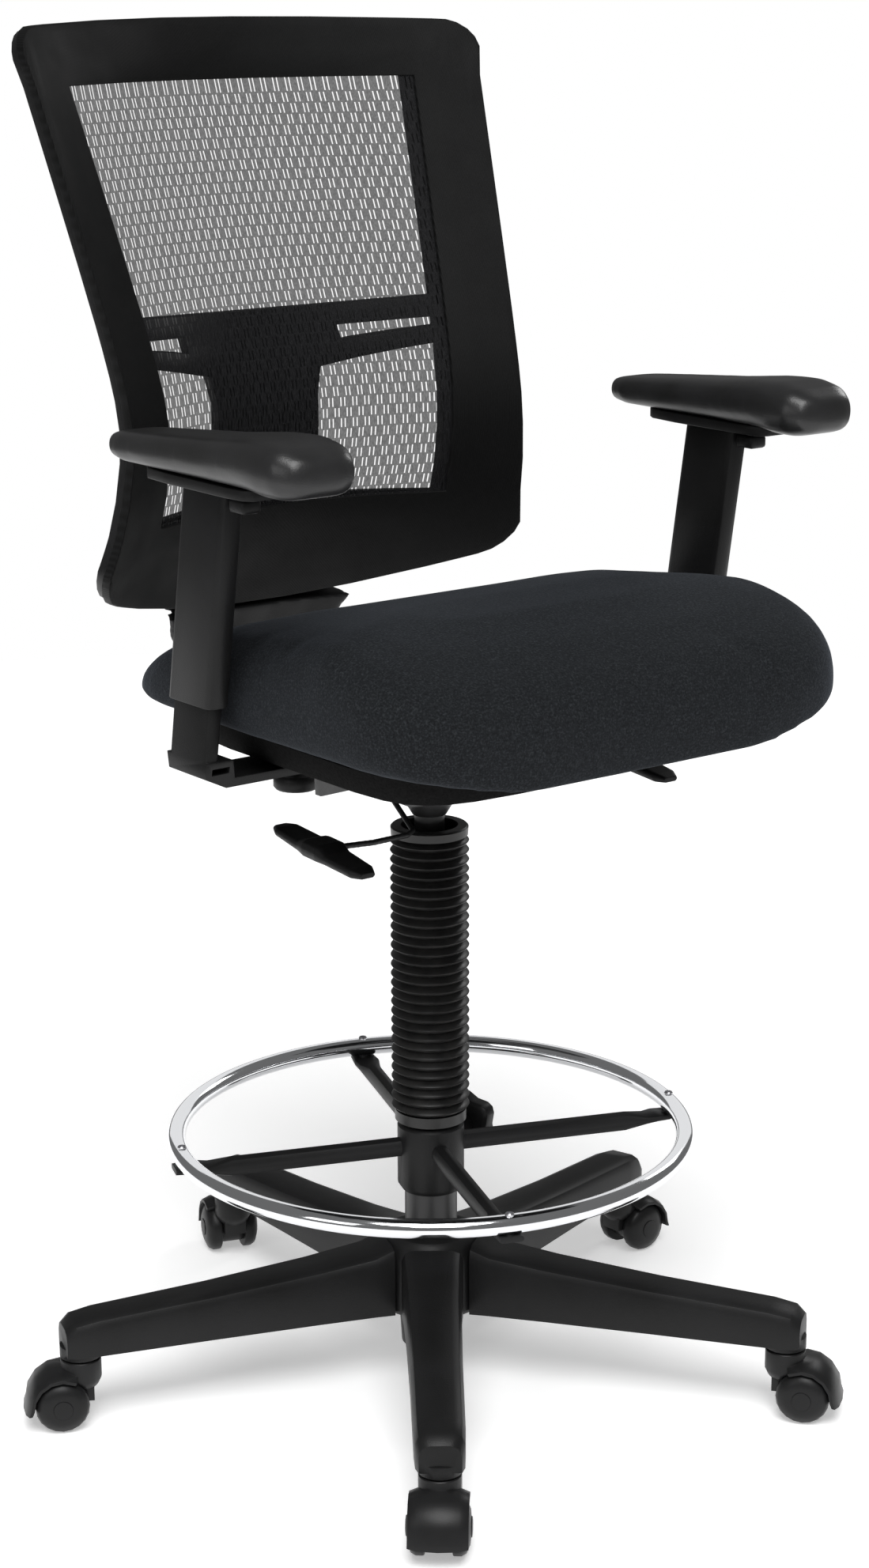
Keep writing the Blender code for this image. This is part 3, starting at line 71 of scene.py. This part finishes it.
# Materials ---------------------------------------------------------------------------------
class Surface:
    """A Principled material with short calls for the procedural nodes that feed it."""

    def __init__(self, name, colour, roughness, metallic=0.0):
        self.material = bpy.data.materials.new(name)
        self.material.use_nodes = True
        self.tree = self.material.node_tree
        self.shader = self.tree.nodes["Principled BSDF"]
        self.set("Base Color", (*colour, 1.0))
        self.set("Roughness", roughness)
        self.set("Metallic", metallic)
        self.place = self.tree.nodes.new("ShaderNodeTexCoord").outputs["Object"]

    def set(self, socket, value):
        self.shader.inputs[socket].default_value = value

    def link(self, output, target):
        self.tree.links.new(output, target)

    def noise(self, scale, detail=3.0, stretch=(1, 1, 1)):
        mapping = self.tree.nodes.new("ShaderNodeMapping")
        mapping.inputs["Scale"].default_value = stretch
        self.link(self.place, mapping.inputs["Vector"])
        node = self.tree.nodes.new("ShaderNodeTexNoise")
        node.inputs["Scale"].default_value = scale
        node.inputs["Detail"].default_value = detail
        self.link(mapping.outputs["Vector"], node.inputs["Vector"])
        return node.outputs["Fac"]

    def cells(self, scale):
        node = self.tree.nodes.new("ShaderNodeTexVoronoi")
        node.inputs["Scale"].default_value = scale
        self.link(self.place, node.inputs["Vector"])
        return node.outputs["Distance"]

    def wave(self, direction, scale):
        node = self.tree.nodes.new("ShaderNodeTexWave")
        node.bands_direction = direction
        node.inputs["Scale"].default_value = scale
        node.inputs["Distortion"].default_value = 0.6
        self.link(self.place, node.inputs["Vector"])
        return node.outputs["Fac"]

    def maths(self, operation, first, second):
        node = self.tree.nodes.new("ShaderNodeMath")
        node.operation = operation
        for socket, value in zip(node.inputs, (first, second)):
            if isinstance(value, (int, float)):
                socket.default_value = value
            else:
                self.link(value, socket)
        return node.outputs["Value"]

    def spread(self, value, low, high):
        node = self.tree.nodes.new("ShaderNodeMapRange")
        node.inputs["To Min"].default_value = low
        node.inputs["To Max"].default_value = high
        self.link(value, node.inputs["Value"])
        return node.outputs["Result"]

    def roughness(self, value, low, high):
        self.link(self.spread(value, low, high), self.shader.inputs["Roughness"])

    def colours(self, value, *stops):
        ramp = self.tree.nodes.new("ShaderNodeValToRGB")
        for index, (place, colour) in enumerate(stops):
            point = ramp.color_ramp.elements[index] if index < 2 else ramp.color_ramp.elements.new(place)
            point.position = place
            point.color = (*colour, 1.0)
        self.link(value, ramp.inputs["Fac"])
        self.link(ramp.outputs["Color"], self.shader.inputs["Base Color"])

    def bump(self, height, strength, distance):
        node = self.tree.nodes.new("ShaderNodeBump")
        node.inputs["Strength"].default_value = strength
        node.inputs["Distance"].default_value = distance
        self.link(height, node.inputs["Height"])
        self.link(node.outputs["Normal"], self.shader.inputs["Normal"])


def moulded(name, tone, low, high, grain=900.0, strength=0.25):
    """Black moulded nylon: a fine spark-eroded grain and slightly uneven gloss."""
    surface = Surface(name, (tone, tone, tone * 1.05), (low + high) / 2)
    surface.set("Specular IOR Level", 0.22)
    blotch = surface.noise(14.0, 4.0)
    surface.colours(
        blotch, (0.30, (tone * 0.80,) * 3), (0.72, (tone * 1.22, tone * 1.22, tone * 1.28)),
    )
    surface.roughness(blotch, low, high)
    surface.bump(surface.cells(grain), strength, 0.0003)
    return surface.material


def powder_coat():
    """Satin black powder coat: orange peel under a low sheen."""
    surface = Surface("black_powder_coat", (0.016, 0.016, 0.017), 0.38)
    peel = surface.noise(420.0, 2.0)
    surface.colours(surface.noise(30.0), (0.3, (0.012,) * 3), (0.7, (0.021, 0.021, 0.022)))
    surface.roughness(surface.noise(60.0), 0.30, 0.46)
    surface.bump(peel, 0.18, 0.0004)
    return surface.material


def cast_coat():
    """Black coat over die-cast or pressed metal, with the rougher face that castings keep."""
    surface = Surface("cast_black_coat", (0.018, 0.018, 0.019), 0.45)
    surface.colours(surface.noise(45.0), (0.3, (0.012,) * 3), (0.75, (0.026, 0.026, 0.027)))
    surface.roughness(surface.noise(90.0), 0.34, 0.58)
    surface.bump(surface.noise(260.0, 4.0), 0.35, 0.0005)
    return surface.material


def chrome():
    """Polished chrome with faint wiping marks."""
    surface = Surface("polished_chrome", (0.80, 0.81, 0.83), 0.07, 1.0)
    surface.roughness(surface.noise(55.0, 5.0, (1, 1, 5)), 0.045, 0.13)
    surface.bump(surface.noise(9.0, 1.0), 0.02, 0.001)
    return surface.material


def bright_steel():
    surface = Surface("bright_steel", (0.58, 0.58, 0.60), 0.28, 1.0)
    surface.roughness(surface.noise(320.0, 3.0, (1, 1, 0.08)), 0.20, 0.42)
    surface.bump(surface.noise(520.0, 2.0, (1, 1, 0.06)), 0.12, 0.0002)
    return surface.material


def rubber():
    """Blow-moulded bellows rubber, a little dusty in its grooves."""
    surface = Surface("bellows_rubber", (0.013, 0.013, 0.014), 0.5)
    dust = surface.noise(70.0, 5.0)
    surface.colours(dust, (0.35, (0.009,) * 3), (0.80, (0.024, 0.023, 0.022)))
    surface.roughness(dust, 0.30, 0.55)
    surface.bump(surface.noise(700.0), 0.15, 0.0003)
    return surface.material


def seat_cloth():
    """Charcoal crepe: warp and weft ridges, with paler flecks of the yarn and a soft fuzz."""
    surface = Surface("seat_cloth", (0.013, 0.014, 0.016), 0.95)
    surface.set("Specular IOR Level", 0.15)
    warp = surface.noise(260.0, 2.0, (1.0, 4.0, 2.5))
    weft = surface.noise(260.0, 2.0, (4.0, 1.0, 2.5))
    yarn = surface.maths("MULTIPLY", surface.maths("ADD", warp, weft), 0.5)
    fleck = surface.maths("MULTIPLY", surface.maths("ADD", yarn, surface.noise(560.0, 2.0)), 0.5)
    surface.colours(
        fleck, (0.38, (0.0060, 0.0068, 0.0078)), (0.52, (0.0120, 0.0134, 0.0150)),
        (0.64, (0.0260, 0.0290, 0.0320)),
    )
    surface.bump(fleck, 0.60, 0.0012)
    surface.set("Sheen Weight", 0.10)
    surface.set("Sheen Roughness", 0.45)
    surface.set("Sheen Tint", (0.62, 0.70, 0.85, 1.0))
    return surface.material


def wrap_cloth():
    """The mesh's solid margin, pulled over the hoop: black, with a close vertical rib."""
    surface = Surface("hoop_wrap", (0.010, 0.010, 0.011), 0.62)
    surface.set("Specular IOR Level", 0.13)
    rib = surface.wave("X", 260.0)
    surface.colours(
        surface.maths("MULTIPLY", rib, surface.noise(500.0, 2.0)),
        (0.05, (0.0035,) * 3), (0.62, (0.0085, 0.0087, 0.0090)),
    )
    surface.roughness(surface.noise(24.0), 0.46, 0.70)
    surface.bump(rib, 0.30, 0.0004)
    return surface.material


def dust_cover():
    """Spun black felt stapled over the underside of the seat."""
    surface = Surface("dust_cover", (0.006, 0.006, 0.006), 1.0)
    surface.set("Specular IOR Level", 0.1)
    fibre = surface.noise(380.0, 4.0)
    surface.colours(fibre, (0.3, (0.004,) * 3), (0.7, (0.009,) * 3))
    surface.bump(fibre, 0.5, 0.0006)
    return surface.material


def mesh_yarn():
    """Yarns of the see-through mesh, themselves a little open."""
    surface = Surface("mesh_yarn", (0.012, 0.012, 0.013), 0.75)
    surface.set("Specular IOR Level", 0.15)
    thread = surface.noise(900.0, 2.0, (1, 1, 0.3))
    surface.colours(thread, (0.30, (0.006, 0.006, 0.007)), (0.75, (0.018, 0.018, 0.019)))
    surface.link(surface.spread(thread, 0.70, 0.97), surface.shader.inputs["Alpha"])
    surface.bump(thread, 0.4, 0.0004)
    return surface.material


def pad_skin():
    """Self-skinned polyurethane: a fine leather grain with a soft shine."""
    surface = Surface("pad_skin", (0.016, 0.016, 0.0165), 0.36)
    surface.colours(surface.noise(18.0), (0.3, (0.013,) * 3), (0.75, (0.020, 0.020, 0.021)))
    surface.roughness(surface.noise(36.0), 0.27, 0.42)
    surface.bump(surface.cells(760.0), 0.16, 0.0004)
    return surface.material


SLOT_MATERIALS = {
    "black_nylon": moulded("black_nylon", 0.0095, 0.36, 0.52),
    "wheel_plastic": moulded("wheel_plastic", 0.0115, 0.30, 0.46, 1200.0, 0.12),
    "black_steel": powder_coat(),
    "cast_mechanism": cast_coat(),
    "bright_steel": bright_steel(),
    "ring_chrome": chrome(),
    "bellows_rubber": rubber(),
    "seat_cloth": seat_cloth(),
    "back_mesh_cloth": mesh_yarn(),
    "pad_skin": pad_skin(),
}
HOOP_WRAP = wrap_cloth()
DUST_COVER = dust_cover()


# Helpers -----------------------------------------------------------------------------------
def link(name, mesh, material):
    obj = bpy.data.objects.new(name, mesh)
    bpy.context.scene.collection.objects.link(obj)
    obj.data.materials.clear()
    obj.data.materials.append(material)
    return obj


def from_bmesh(name, bm, material):
    mesh = bpy.data.meshes.new(name)
    bm.to_mesh(mesh)
    bm.free()
    return link(name, mesh, material)


def apply_modifiers(obj):
    graph = bpy.context.evaluated_depsgraph_get()
    graph.update()
    made = bpy.data.meshes.new_from_object(obj.evaluated_get(graph))
    obj.modifiers.clear()
    obj.data = made
    return obj


def smooth(obj, degrees=40.0):
    for polygon in obj.data.polygons:
        polygon.use_smooth = True
    obj.data.set_sharp_from_angle(angle=math.radians(degrees))
    return obj


def fit(obj, node_or_body):
    """Rides a piece on a body, or on the body of a node."""
    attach(obj, BODIES.get(node_or_body, node_or_body))
    return obj


def copy_of(node):
    """The node's solid as a clean mesh with its split vertices welded."""
    bm = bmesh.new()
    bm.from_mesh(NODES[node].data)
    bmesh.ops.remove_doubles(bm, verts=bm.verts, dist=1e-5)
    bmesh.ops.dissolve_limit(bm, angle_limit=math.radians(0.4), verts=bm.verts, edges=bm.edges)
    return bm


def refined(node, slot, edge=0.0, degrees=40.0, material=None):
    """The node's own shape with softly rounded edges and smooth shading, in its real finish."""
    obj = from_bmesh(node + "_shape", copy_of(node), material or SLOT_MATERIALS[slot])
    if edge:
        modifier = obj.modifiers.new("edges", "BEVEL")
        modifier.width = edge
        modifier.segments = 2
        modifier.limit_method = "ANGLE"
        modifier.angle_limit = math.radians(degrees)
        apply_modifiers(obj)
    smooth(obj, degrees)
    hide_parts(node)
    return fit(obj, node)


def turn_to(axis):
    return Vector(axis).to_track_quat("Z", "Y").to_matrix().to_4x4()


def turned(name, profile, place, axis, material, steps=28):
    """A solid turned from (radius, height) points about an axis through a place."""
    bm = bmesh.new()
    points = [bm.verts.new((max(radius, 0.0), 0.0, height)) for radius, height in profile]
    edges = [bm.edges.new(pair) for pair in zip(points, points[1:])]
    bmesh.ops.spin(
        bm, geom=points + edges, cent=(0, 0, 0), axis=(0, 0, 1), angle=2 * math.pi,
        steps=steps, use_merge=True,
    )
    bmesh.ops.remove_doubles(bm, verts=bm.verts, dist=1e-6)
    bmesh.ops.recalc_face_normals(bm, faces=bm.faces)
    bm.transform(Matrix.Translation(Vector(place)) @ turn_to(axis))
    return smooth(from_bmesh(name, bm, material), 35.0)


def cap_screw(name, place, axis, radius, height, body, slot="bright_steel"):
    """A socket-head screw: a domed head with a round recess, half sunk in its seat."""
    recess = radius * 0.52
    head = turned(
        name,
        [
            (0.0, -0.0006), (radius, -0.0006), (radius, height * 0.55), (radius * 0.82, height),
            (recess, height), (recess * 0.96, height * 0.35), (0.0, height * 0.30),
        ],
        place, axis, SLOT_MATERIALS[slot], 18,
    )
    return fit(head, body)


# Chair pieces ------------------------------------------------------------------------------
def main():
    camera_and_light()
    shapes()
    bellows()
    foot_ring()
    chrome_card()
    seat()
    mesh_back()
    for word in WORDS:
        arm_pad(word)
    fasteners()
    caster_caps()


PLAIN_SHAPES = {
    "star_base": 0.0012, "foot_ring_spider": 0.0006, "foot_ring_knob": 0.0006,
    "lift_outer_tube": 0.0, "lift_piston_rod": 0.0, "lift_thrust_bearing": 0.0,
    "lift_cylinder": 0.0, "mechanism_housing": 0.0010, "tilt_axle": 0.0004,
    "back_carrier": 0.0008, "back_depth_knob": 0.0006, "back_bar": 0.0010,
    "tension_knob": 0.0006, "back_rear_frame": 0.0012,
    "arm_right_bracket": 0.0012, "arm_left_bracket": 0.0012,
    "arm_right_sleeve": 0.0008, "arm_left_sleeve": 0.0008,
    "arm_right_pad_plate": 0.0008, "arm_left_pad_plate": 0.0008,
    "arm_right_button": 0.0, "arm_left_button": 0.0,
}


def moulded_shape(node, slot, voxel, repeats, material=None):
    """A moulding without hard corners: the node's shape with all its edges rounded off."""
    obj = from_bmesh(node + "_shape", copy_of(node), material or SLOT_MATERIALS[slot])
    remesh(obj, voxel)
    soften(obj, 0.5, repeats)
    smooth(obj, 180.0)
    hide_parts(node)
    return fit(obj, node)


def shapes():
    slots = {part["node"]: part["material_slot"] for part in frame["record"]["subparts"]}
    for node, edge in PLAIN_SHAPES.items():
        refined(node, slots[node], edge)
    refined("back_front_frame", "black_nylon", 0.0012, material=HOOP_WRAP)
    refined("seat_pan", "black_nylon", 0.0012, material=DUST_COVER)
    moulded_shape("back_bar_cover", "black_nylon", 0.0030, 14)
    for lever in ("height_lever", "tilt_lever"):
        moulded_shape(lever, "black_nylon", 0.0010, 6)
    for number in CASTERS:
        refined(f"caster_{number}_housing", "wheel_plastic", 0.0006)
        for piece in ("stem", "axle"):
            refined(f"caster_{number}_{piece}", "bright_steel")
        for word in WORDS:
            refined(f"caster_{number}_wheel_{word}", "wheel_plastic", 0.0005)


def bellows():
    """Ribbed bellows, turned smoothly between the node's own lowest and highest point."""
    low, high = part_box("lift_bellows")
    outer = (high.x - low.x) / 2
    rib_depth = 0.0062
    wall = 0.004
    inner = outer - rib_depth
    ribs = 29
    collar = 0.010  # height of the plain band at each end
    pitch = (high.z - low.z - 2 * collar) / ribs
    profile = [(inner - wall, low.z), (outer - 0.003, low.z), (outer - 0.003, low.z + collar)]
    steps = 6
    for rib in range(ribs):
        for step in range(steps):
            share = step / steps
            swell = 0.5 - 0.5 * math.cos(2 * math.pi * share)
            radius = inner + (outer - inner) * swell ** 0.7
            profile.append((radius, low.z + collar + (rib + share) * pitch))
    profile += [
        (inner, high.z - collar), (outer - 0.001, high.z - collar + 0.001),
        (outer - 0.0005, high.z - 0.0015), (outer - 0.002, high.z), (inner - wall, high.z),
        (inner - wall, low.z),
    ]
    obj = turned(
        "bellows_ribbed", profile, (0, COLUMN_Y, 0), (0, 0, 1), SLOT_MATERIALS["bellows_rubber"], 48,
    )
    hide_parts("lift_bellows")
    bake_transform(obj)


def foot_ring():
    """Round chromed tube bent into a ring, turned finely enough for clean reflections."""
    low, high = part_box("foot_ring")
    tube = (high.z - low.z) / 2
    radius = (high.x - low.x) / 2 - tube
    middle = (high.z + low.z) / 2
    sides = 20
    profile = [
        (radius + tube * math.cos(turn), middle + tube * math.sin(turn))
        for turn in (2 * math.pi * side / sides for side in range(sides + 1))
    ]
    obj = turned(
        "foot_ring_tube", profile, (0, COLUMN_Y, 0), (0, 0, 1), SLOT_MATERIALS["ring_chrome"], 128,
    )
    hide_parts("foot_ring")
    fit(obj, "foot_ring")
    for step in range(4):
        angle = SPOKE_FIRST + math.radians(90 * step)
        place = (radius * math.cos(angle), COLUMN_Y + radius * math.sin(angle), high.z - 0.0006)
        cap_screw(f"ring_screw_{step + 1}", place, (0, 0, 1), 0.0042, 0.0022, BODIES["foot_ring"])


def shrink(obj, distance):
    """Moves every point inwards along its normal."""
    obj.data.update()
    moves = [(vertex.co - vertex.normal * distance) for vertex in obj.data.vertices]
    for vertex, place in zip(obj.data.vertices, moves):
        vertex.co = place


def remesh(obj, size):
    modifier = obj.modifiers.new("remesh", "REMESH")
    modifier.mode = "VOXEL"
    modifier.voxel_size = size
    return apply_modifiers(obj)


def soften(obj, factor, repeats):
    modifier = obj.modifiers.new("soften", "SMOOTH")
    modifier.factor = factor
    modifier.iterations = repeats
    return apply_modifiers(obj)


def inflate(obj, cap, pressure=4.0, frames=20):
    """Blows the closed cover up as cloth, then holds every point within the cap of its start."""
    rest = [vertex.co.copy() for vertex in obj.data.vertices]
    modifier = obj.modifiers.new("cover", "CLOTH")
    modifier.settings.quality = 4
    modifier.settings.use_pressure = True
    modifier.settings.uniform_pressure_force = pressure
    modifier.settings.effector_weights.gravity = 0.0
    modifier.collision_settings.use_collision = False
    modifier.point_cache.frame_start = 1
    modifier.point_cache.frame_end = frames
    for number in range(1, frames + 1):
        bpy.context.scene.frame_set(number)
    apply_modifiers(obj)
    bpy.context.scene.frame_set(1)
    for vertex, start in zip(obj.data.vertices, rest):
        move = vertex.co - start
        if move.length > cap:
            vertex.co = start + move * (cap / move.length)
    return obj


def seat():
    """Foam cushion in its stretched cover."""
    obj = from_bmesh("seat_cover", copy_of("seat_cushion"), SLOT_MATERIALS["seat_cloth"])
    remesh(obj, 0.006)
    soften(obj, 0.5, 6)
    shrink(obj, 0.0040)
    inflate(obj, 0.0045)
    soften(obj, 0.5, 4)
    modifier = obj.modifiers.new("finer", "SUBSURF")
    modifier.levels = 1
    apply_modifiers(obj)
    smooth(obj, 180.0)
    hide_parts("seat_cushion")
    fit(obj, "seat_cushion")


def mesh_back():
    """Stretched mesh: rows of paired slits in brick order, cut as real holes in one sheet."""
    source = copy_of("back_mesh")
    tree = BVHTree.FromBMesh(source)
    low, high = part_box("back_mesh")
    heights = sorted({round(vertex.co.z, 5) for vertex in source.verts})
    widths = [
        max(abs(vertex.co.x) for vertex in source.verts if abs(vertex.co.z - height) < 2e-5)
        for height in heights
    ]
    source.free()
    tuck = 0.0022  # how far the sheet runs on inside the hoop
    lift = 0.0010  # how far it lies behind the solid's front face
    inset = 0.0006  # rays start this far inside the solid's edge, so that they meet it

    def edge_at(z):
        z = min(max(z, heights[0]), heights[-1])
        for (z0, z1), (w0, w1) in zip(zip(heights, heights[1:]), zip(widths, widths[1:])):
            if z <= z1:
                return w0 + (w1 - w0) * (z - z0) / (z1 - z0)
        return widths[-1]

    def depth_at(x, z):
        inside = edge_at(z) - inset
        x = min(max(x, -inside), inside)
        z = min(max(z, low.z + inset), high.z - inset)
        hit = tree.ray_cast(Vector((x, -1.0, z)), Vector((0, 1, 0)))[0]
        return hit.y + lift

    pitch = 0.0125  # from one pair of slits to the next
    slit_width, slit_apart = 0.0011, 0.0040
    slit, bar = 0.0084, 0.0016  # height of a slit, and of the knitted bar between rows
    pairs = [
        (centre - slit_apart / 2, centre + slit_apart / 2)
        for centre in (0.0, pitch / 2)
    ]
    edges = [
        middle + side * slit_width / 2
        for middles in pairs for middle in middles for side in (-1, 1)
    ]
    reach = int((high.x + tuck) / pitch) + 2
    lines = sorted(number * pitch + edge for number in range(-reach, reach) for edge in edges)
    levels = [low.z - tuck]
    while levels[-1] < high.z + tuck - slit:
        levels.append(levels[-1] + bar)
        levels.append(levels[-1] + slit)
    levels[-1] = high.z + tuck
    bm = bmesh.new()
    points = {}

    def point(x, level):
        z = levels[level]
        edge = edge_at(z) + tuck
        x = min(max(x, -edge), edge)
        key = (round(x, 6), level)
        if key not in points:
            points[key] = bm.verts.new((x, depth_at(x, z), z))
        return points[key]

    def is_slit(x, level):
        if level % 2 == 0:
            return False
        within = (x + pitch / 4) % pitch - pitch / 4
        return any(abs(within - middle) < slit_width / 2 for middle in pairs[level // 2 % 2])

    for level in range(len(levels) - 1):
        rim = edge_at((levels[level] + levels[level + 1]) / 2) - slit_width
        for left, right in zip(lines, lines[1:]):
            middle = (left + right) / 2
            if is_slit(middle, level) and abs(middle) < rim:
                continue
            corners = ((left, level), (right, level), (right, level + 1), (left, level + 1))
            unique = list(dict.fromkeys(point(*corner) for corner in corners))
            if len(unique) > 2 and bm.faces.get(unique) is None:
                bm.faces.new(unique)
    area = sum(face.calc_area() for face in bm.faces)
    obj = smooth(from_bmesh("mesh_sheet", bm, SLOT_MATERIALS["back_mesh_cloth"]), 180.0)
    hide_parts("back_mesh")
    fit(obj, "back_mesh")


def arm_pad(word):
    """Moulded pad with the soft edges and slight crown of self-skinned foam."""
    node = f"arm_{word}_pad"
    obj = from_bmesh(f"arm_{word}_soft_pad", copy_of(node), SLOT_MATERIALS["pad_skin"])
    remesh(obj, 0.0024)
    soften(obj, 0.5, 28)
    smooth(obj, 180.0)
    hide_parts(node)
    fit(obj, node)


def caster_caps():
    """Pressed hub cap on the outer face of each wheel."""
    for number in CASTERS:
        joint = next(j for j in frame["joints"] if j["name"] == f"caster_{number}_roll")
        axis, centre = Vector(joint["axis"]), Vector(joint["pos_m"])
        for word in WORDS:
            low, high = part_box(f"caster_{number}_wheel_{word}")
            side = 1.0 if ((low + high) / 2 - centre).dot(axis) > 0 else -1.0
            outer = max(
                (vertex.co - centre).dot(axis * side)
                for vertex in NODES[f"caster_{number}_wheel_{word}"].data.vertices
            )
            cap = turned(
                f"caster_{number}_cap_{word}",
                [
                    (0.0, 0.0009), (0.0060, 0.0008), (0.0088, 0.0004), (0.0094, -0.0010),
                    (0.0094, -0.0030), (0.0, -0.0030),
                ],
                centre + axis * side * outer, axis * side, SLOT_MATERIALS["wheel_plastic"], 24,
            )
            fit(cap, f"caster_{number}_wheels")


def surface_point(node, start, direction):
    """Where a line from a start point meets the node."""
    bm = copy_of(node)
    place = BVHTree.FromBMesh(bm).ray_cast(Vector(start), Vector(direction))[0]
    bm.free()
    return place


def fasteners():
    """Screws that hold the arms, the seat pan and the back together, each seated on its node."""
    spots = []
    for side, word in ((-1, "right"), (1, "left")):
        spots.append((
            f"arm_{word}_bolt_1", f"arm_{word}_bracket",
            (side * 0.140, -0.064, 0.50), (0, 0, 1), 0.0065, 0.0040,
        ))
        for step in range(2):
            spots.append((
                f"seat_pan_bolt_{word}_{step + 1}", "seat_pan",
                (side * 0.100, 0.020 - 0.190 * step, 0.50), (0, 0, 1), 0.0065, 0.0035,
            ))
        for step in range(2):
            spots.append((
                f"rear_screw_{word}_{step + 1}", "back_rear_frame",
                (side * 0.030, 1.0, 0.900 + 0.060 * step), (0, -1, 0), 0.0055, 0.0026,
            ))
            spots.append((
                f"bar_cover_screw_{word}_{step + 1}", "back_bar_cover",
                (side * 0.036, 1.0, 0.700 + 0.080 * step), (0, -1, 0), 0.0048, 0.0022,
            ))
    for name, node, start, way, radius, height in spots:
        slot = "bright_steel" if node == "seat_pan" else "black_steel"
        cap_screw(name, surface_point(node, start, way), -Vector(way), radius, height, BODIES[node], slot)


# Camera, light and floor -------------------------------------------------------------------
def camera_and_light():
    scene = bpy.context.scene
    scene.view_settings.view_transform = "Standard"
    sin_azimuth, cos_azimuth = math.sin(CAMERA_AZIMUTH), math.cos(CAMERA_AZIMUTH)
    sin_pitch, cos_pitch = math.sin(CAMERA_PITCH), math.cos(CAMERA_PITCH)
    ahead = Vector((cos_pitch * sin_azimuth, cos_pitch * cos_azimuth, -sin_pitch))
    level = Vector((cos_azimuth, -sin_azimuth, 0.0))
    upright = Vector((sin_pitch * sin_azimuth, sin_pitch * cos_azimuth, cos_pitch))
    right = math.cos(CAMERA_ROLL) * level - math.sin(CAMERA_ROLL) * upright
    up = math.sin(CAMERA_ROLL) * level + math.cos(CAMERA_ROLL) * upright
    camera = bpy.data.objects.new("camera", bpy.data.cameras.new("camera"))
    scene.collection.objects.link(camera)
    turn = Matrix((right, up, -ahead)).transposed().to_4x4()
    camera.matrix_world = Matrix.Translation(CAMERA_PLACE) @ turn
    camera.data.lens = CAMERA_LENS
    camera.data.sensor_width = CAMERA_SENSOR
    camera.data.shift_x = CAMERA_SHIFT
    scene.camera = camera

    world = bpy.data.worlds.new("studio")
    world.use_nodes = True
    tree = world.node_tree
    sky = tree.nodes["Background"]
    sky.inputs["Color"].default_value = (1.0, 1.0, 1.0, 1.0)
    seen = tree.nodes.new("ShaderNodeMapRange")
    seen.inputs["To Min"].default_value = WORLD_DIM
    seen.inputs["To Max"].default_value = 1.0
    path = tree.nodes.new("ShaderNodeLightPath")
    tree.links.new(path.outputs["Is Camera Ray"], seen.inputs["Value"])
    tree.links.new(seen.outputs["Result"], sky.inputs["Strength"])
    scene.world = world

    floor_mesh = bmesh.new()
    bmesh.ops.create_circle(floor_mesh, cap_ends=True, segments=96, radius=FLOOR_RADIUS)
    paper = Surface("floor_paper", (0.93, 0.93, 0.93), 0.9)
    paper.colours(paper.noise(3.0), (0.3, (0.925,) * 3), (0.7, (0.935,) * 3))
    paper.set("Specular IOR Level", 0.0)
    paper.set("Emission Color", (1.0, 1.0, 1.0, 1.0))
    paper.set("Emission Strength", 0.38)
    floor = from_bmesh("floor", floor_mesh, paper.material)
    floor.location.z = -0.0005

    aim = Vector((0, 0, 0.65))
    for name, kind, place, size, power in (
        ("daylight", "SUN", (-1.6, -2.2, 5.2), math.radians(36), 2.3),
        ("key_softbox", "AREA", (-1.6, -2.4, 2.7), 1.2, 22.0),
        ("front_fill", "AREA", (-3.0, -0.6, 1.6), 1.2, 8.0),
        ("rim_strip", "AREA", (2.6, 0.6, 1.9), 0.8, 10.0),
    ):
        light = bpy.data.lights.new(name, kind)
        if kind == "SUN":
            light.angle = size
        else:
            light.size = size
        light.energy = power
        obj = bpy.data.objects.new(name, light)
        scene.collection.objects.link(obj)
        obj.location = place
        obj.rotation_euler = (aim - Vector(place)).to_track_quat("-Z", "Y").to_euler()


def chrome_card():
    """A white card behind the chair that only the chromed ring reflects."""
    place = Vector((2.2, 2.9, 1.7))
    light = bpy.data.lights.new("chrome_card", "AREA")
    light.shape = "RECTANGLE"
    light.size, light.size_y = 5.0, 2.6
    light.energy = 30.0
    card = bpy.data.objects.new("chrome_card", light)
    bpy.context.scene.collection.objects.link(card)
    card.location = place
    card.rotation_euler = (Vector((0, 0, 0.3)) - place).to_track_quat("-Z", "Y").to_euler()
    card.visible_camera = False
    lit = bpy.data.collections.new("chrome_card_lights")
    lit.objects.link(bpy.data.objects["foot_ring_tube"])
    card.light_linking.receiver_collection = lit


main()
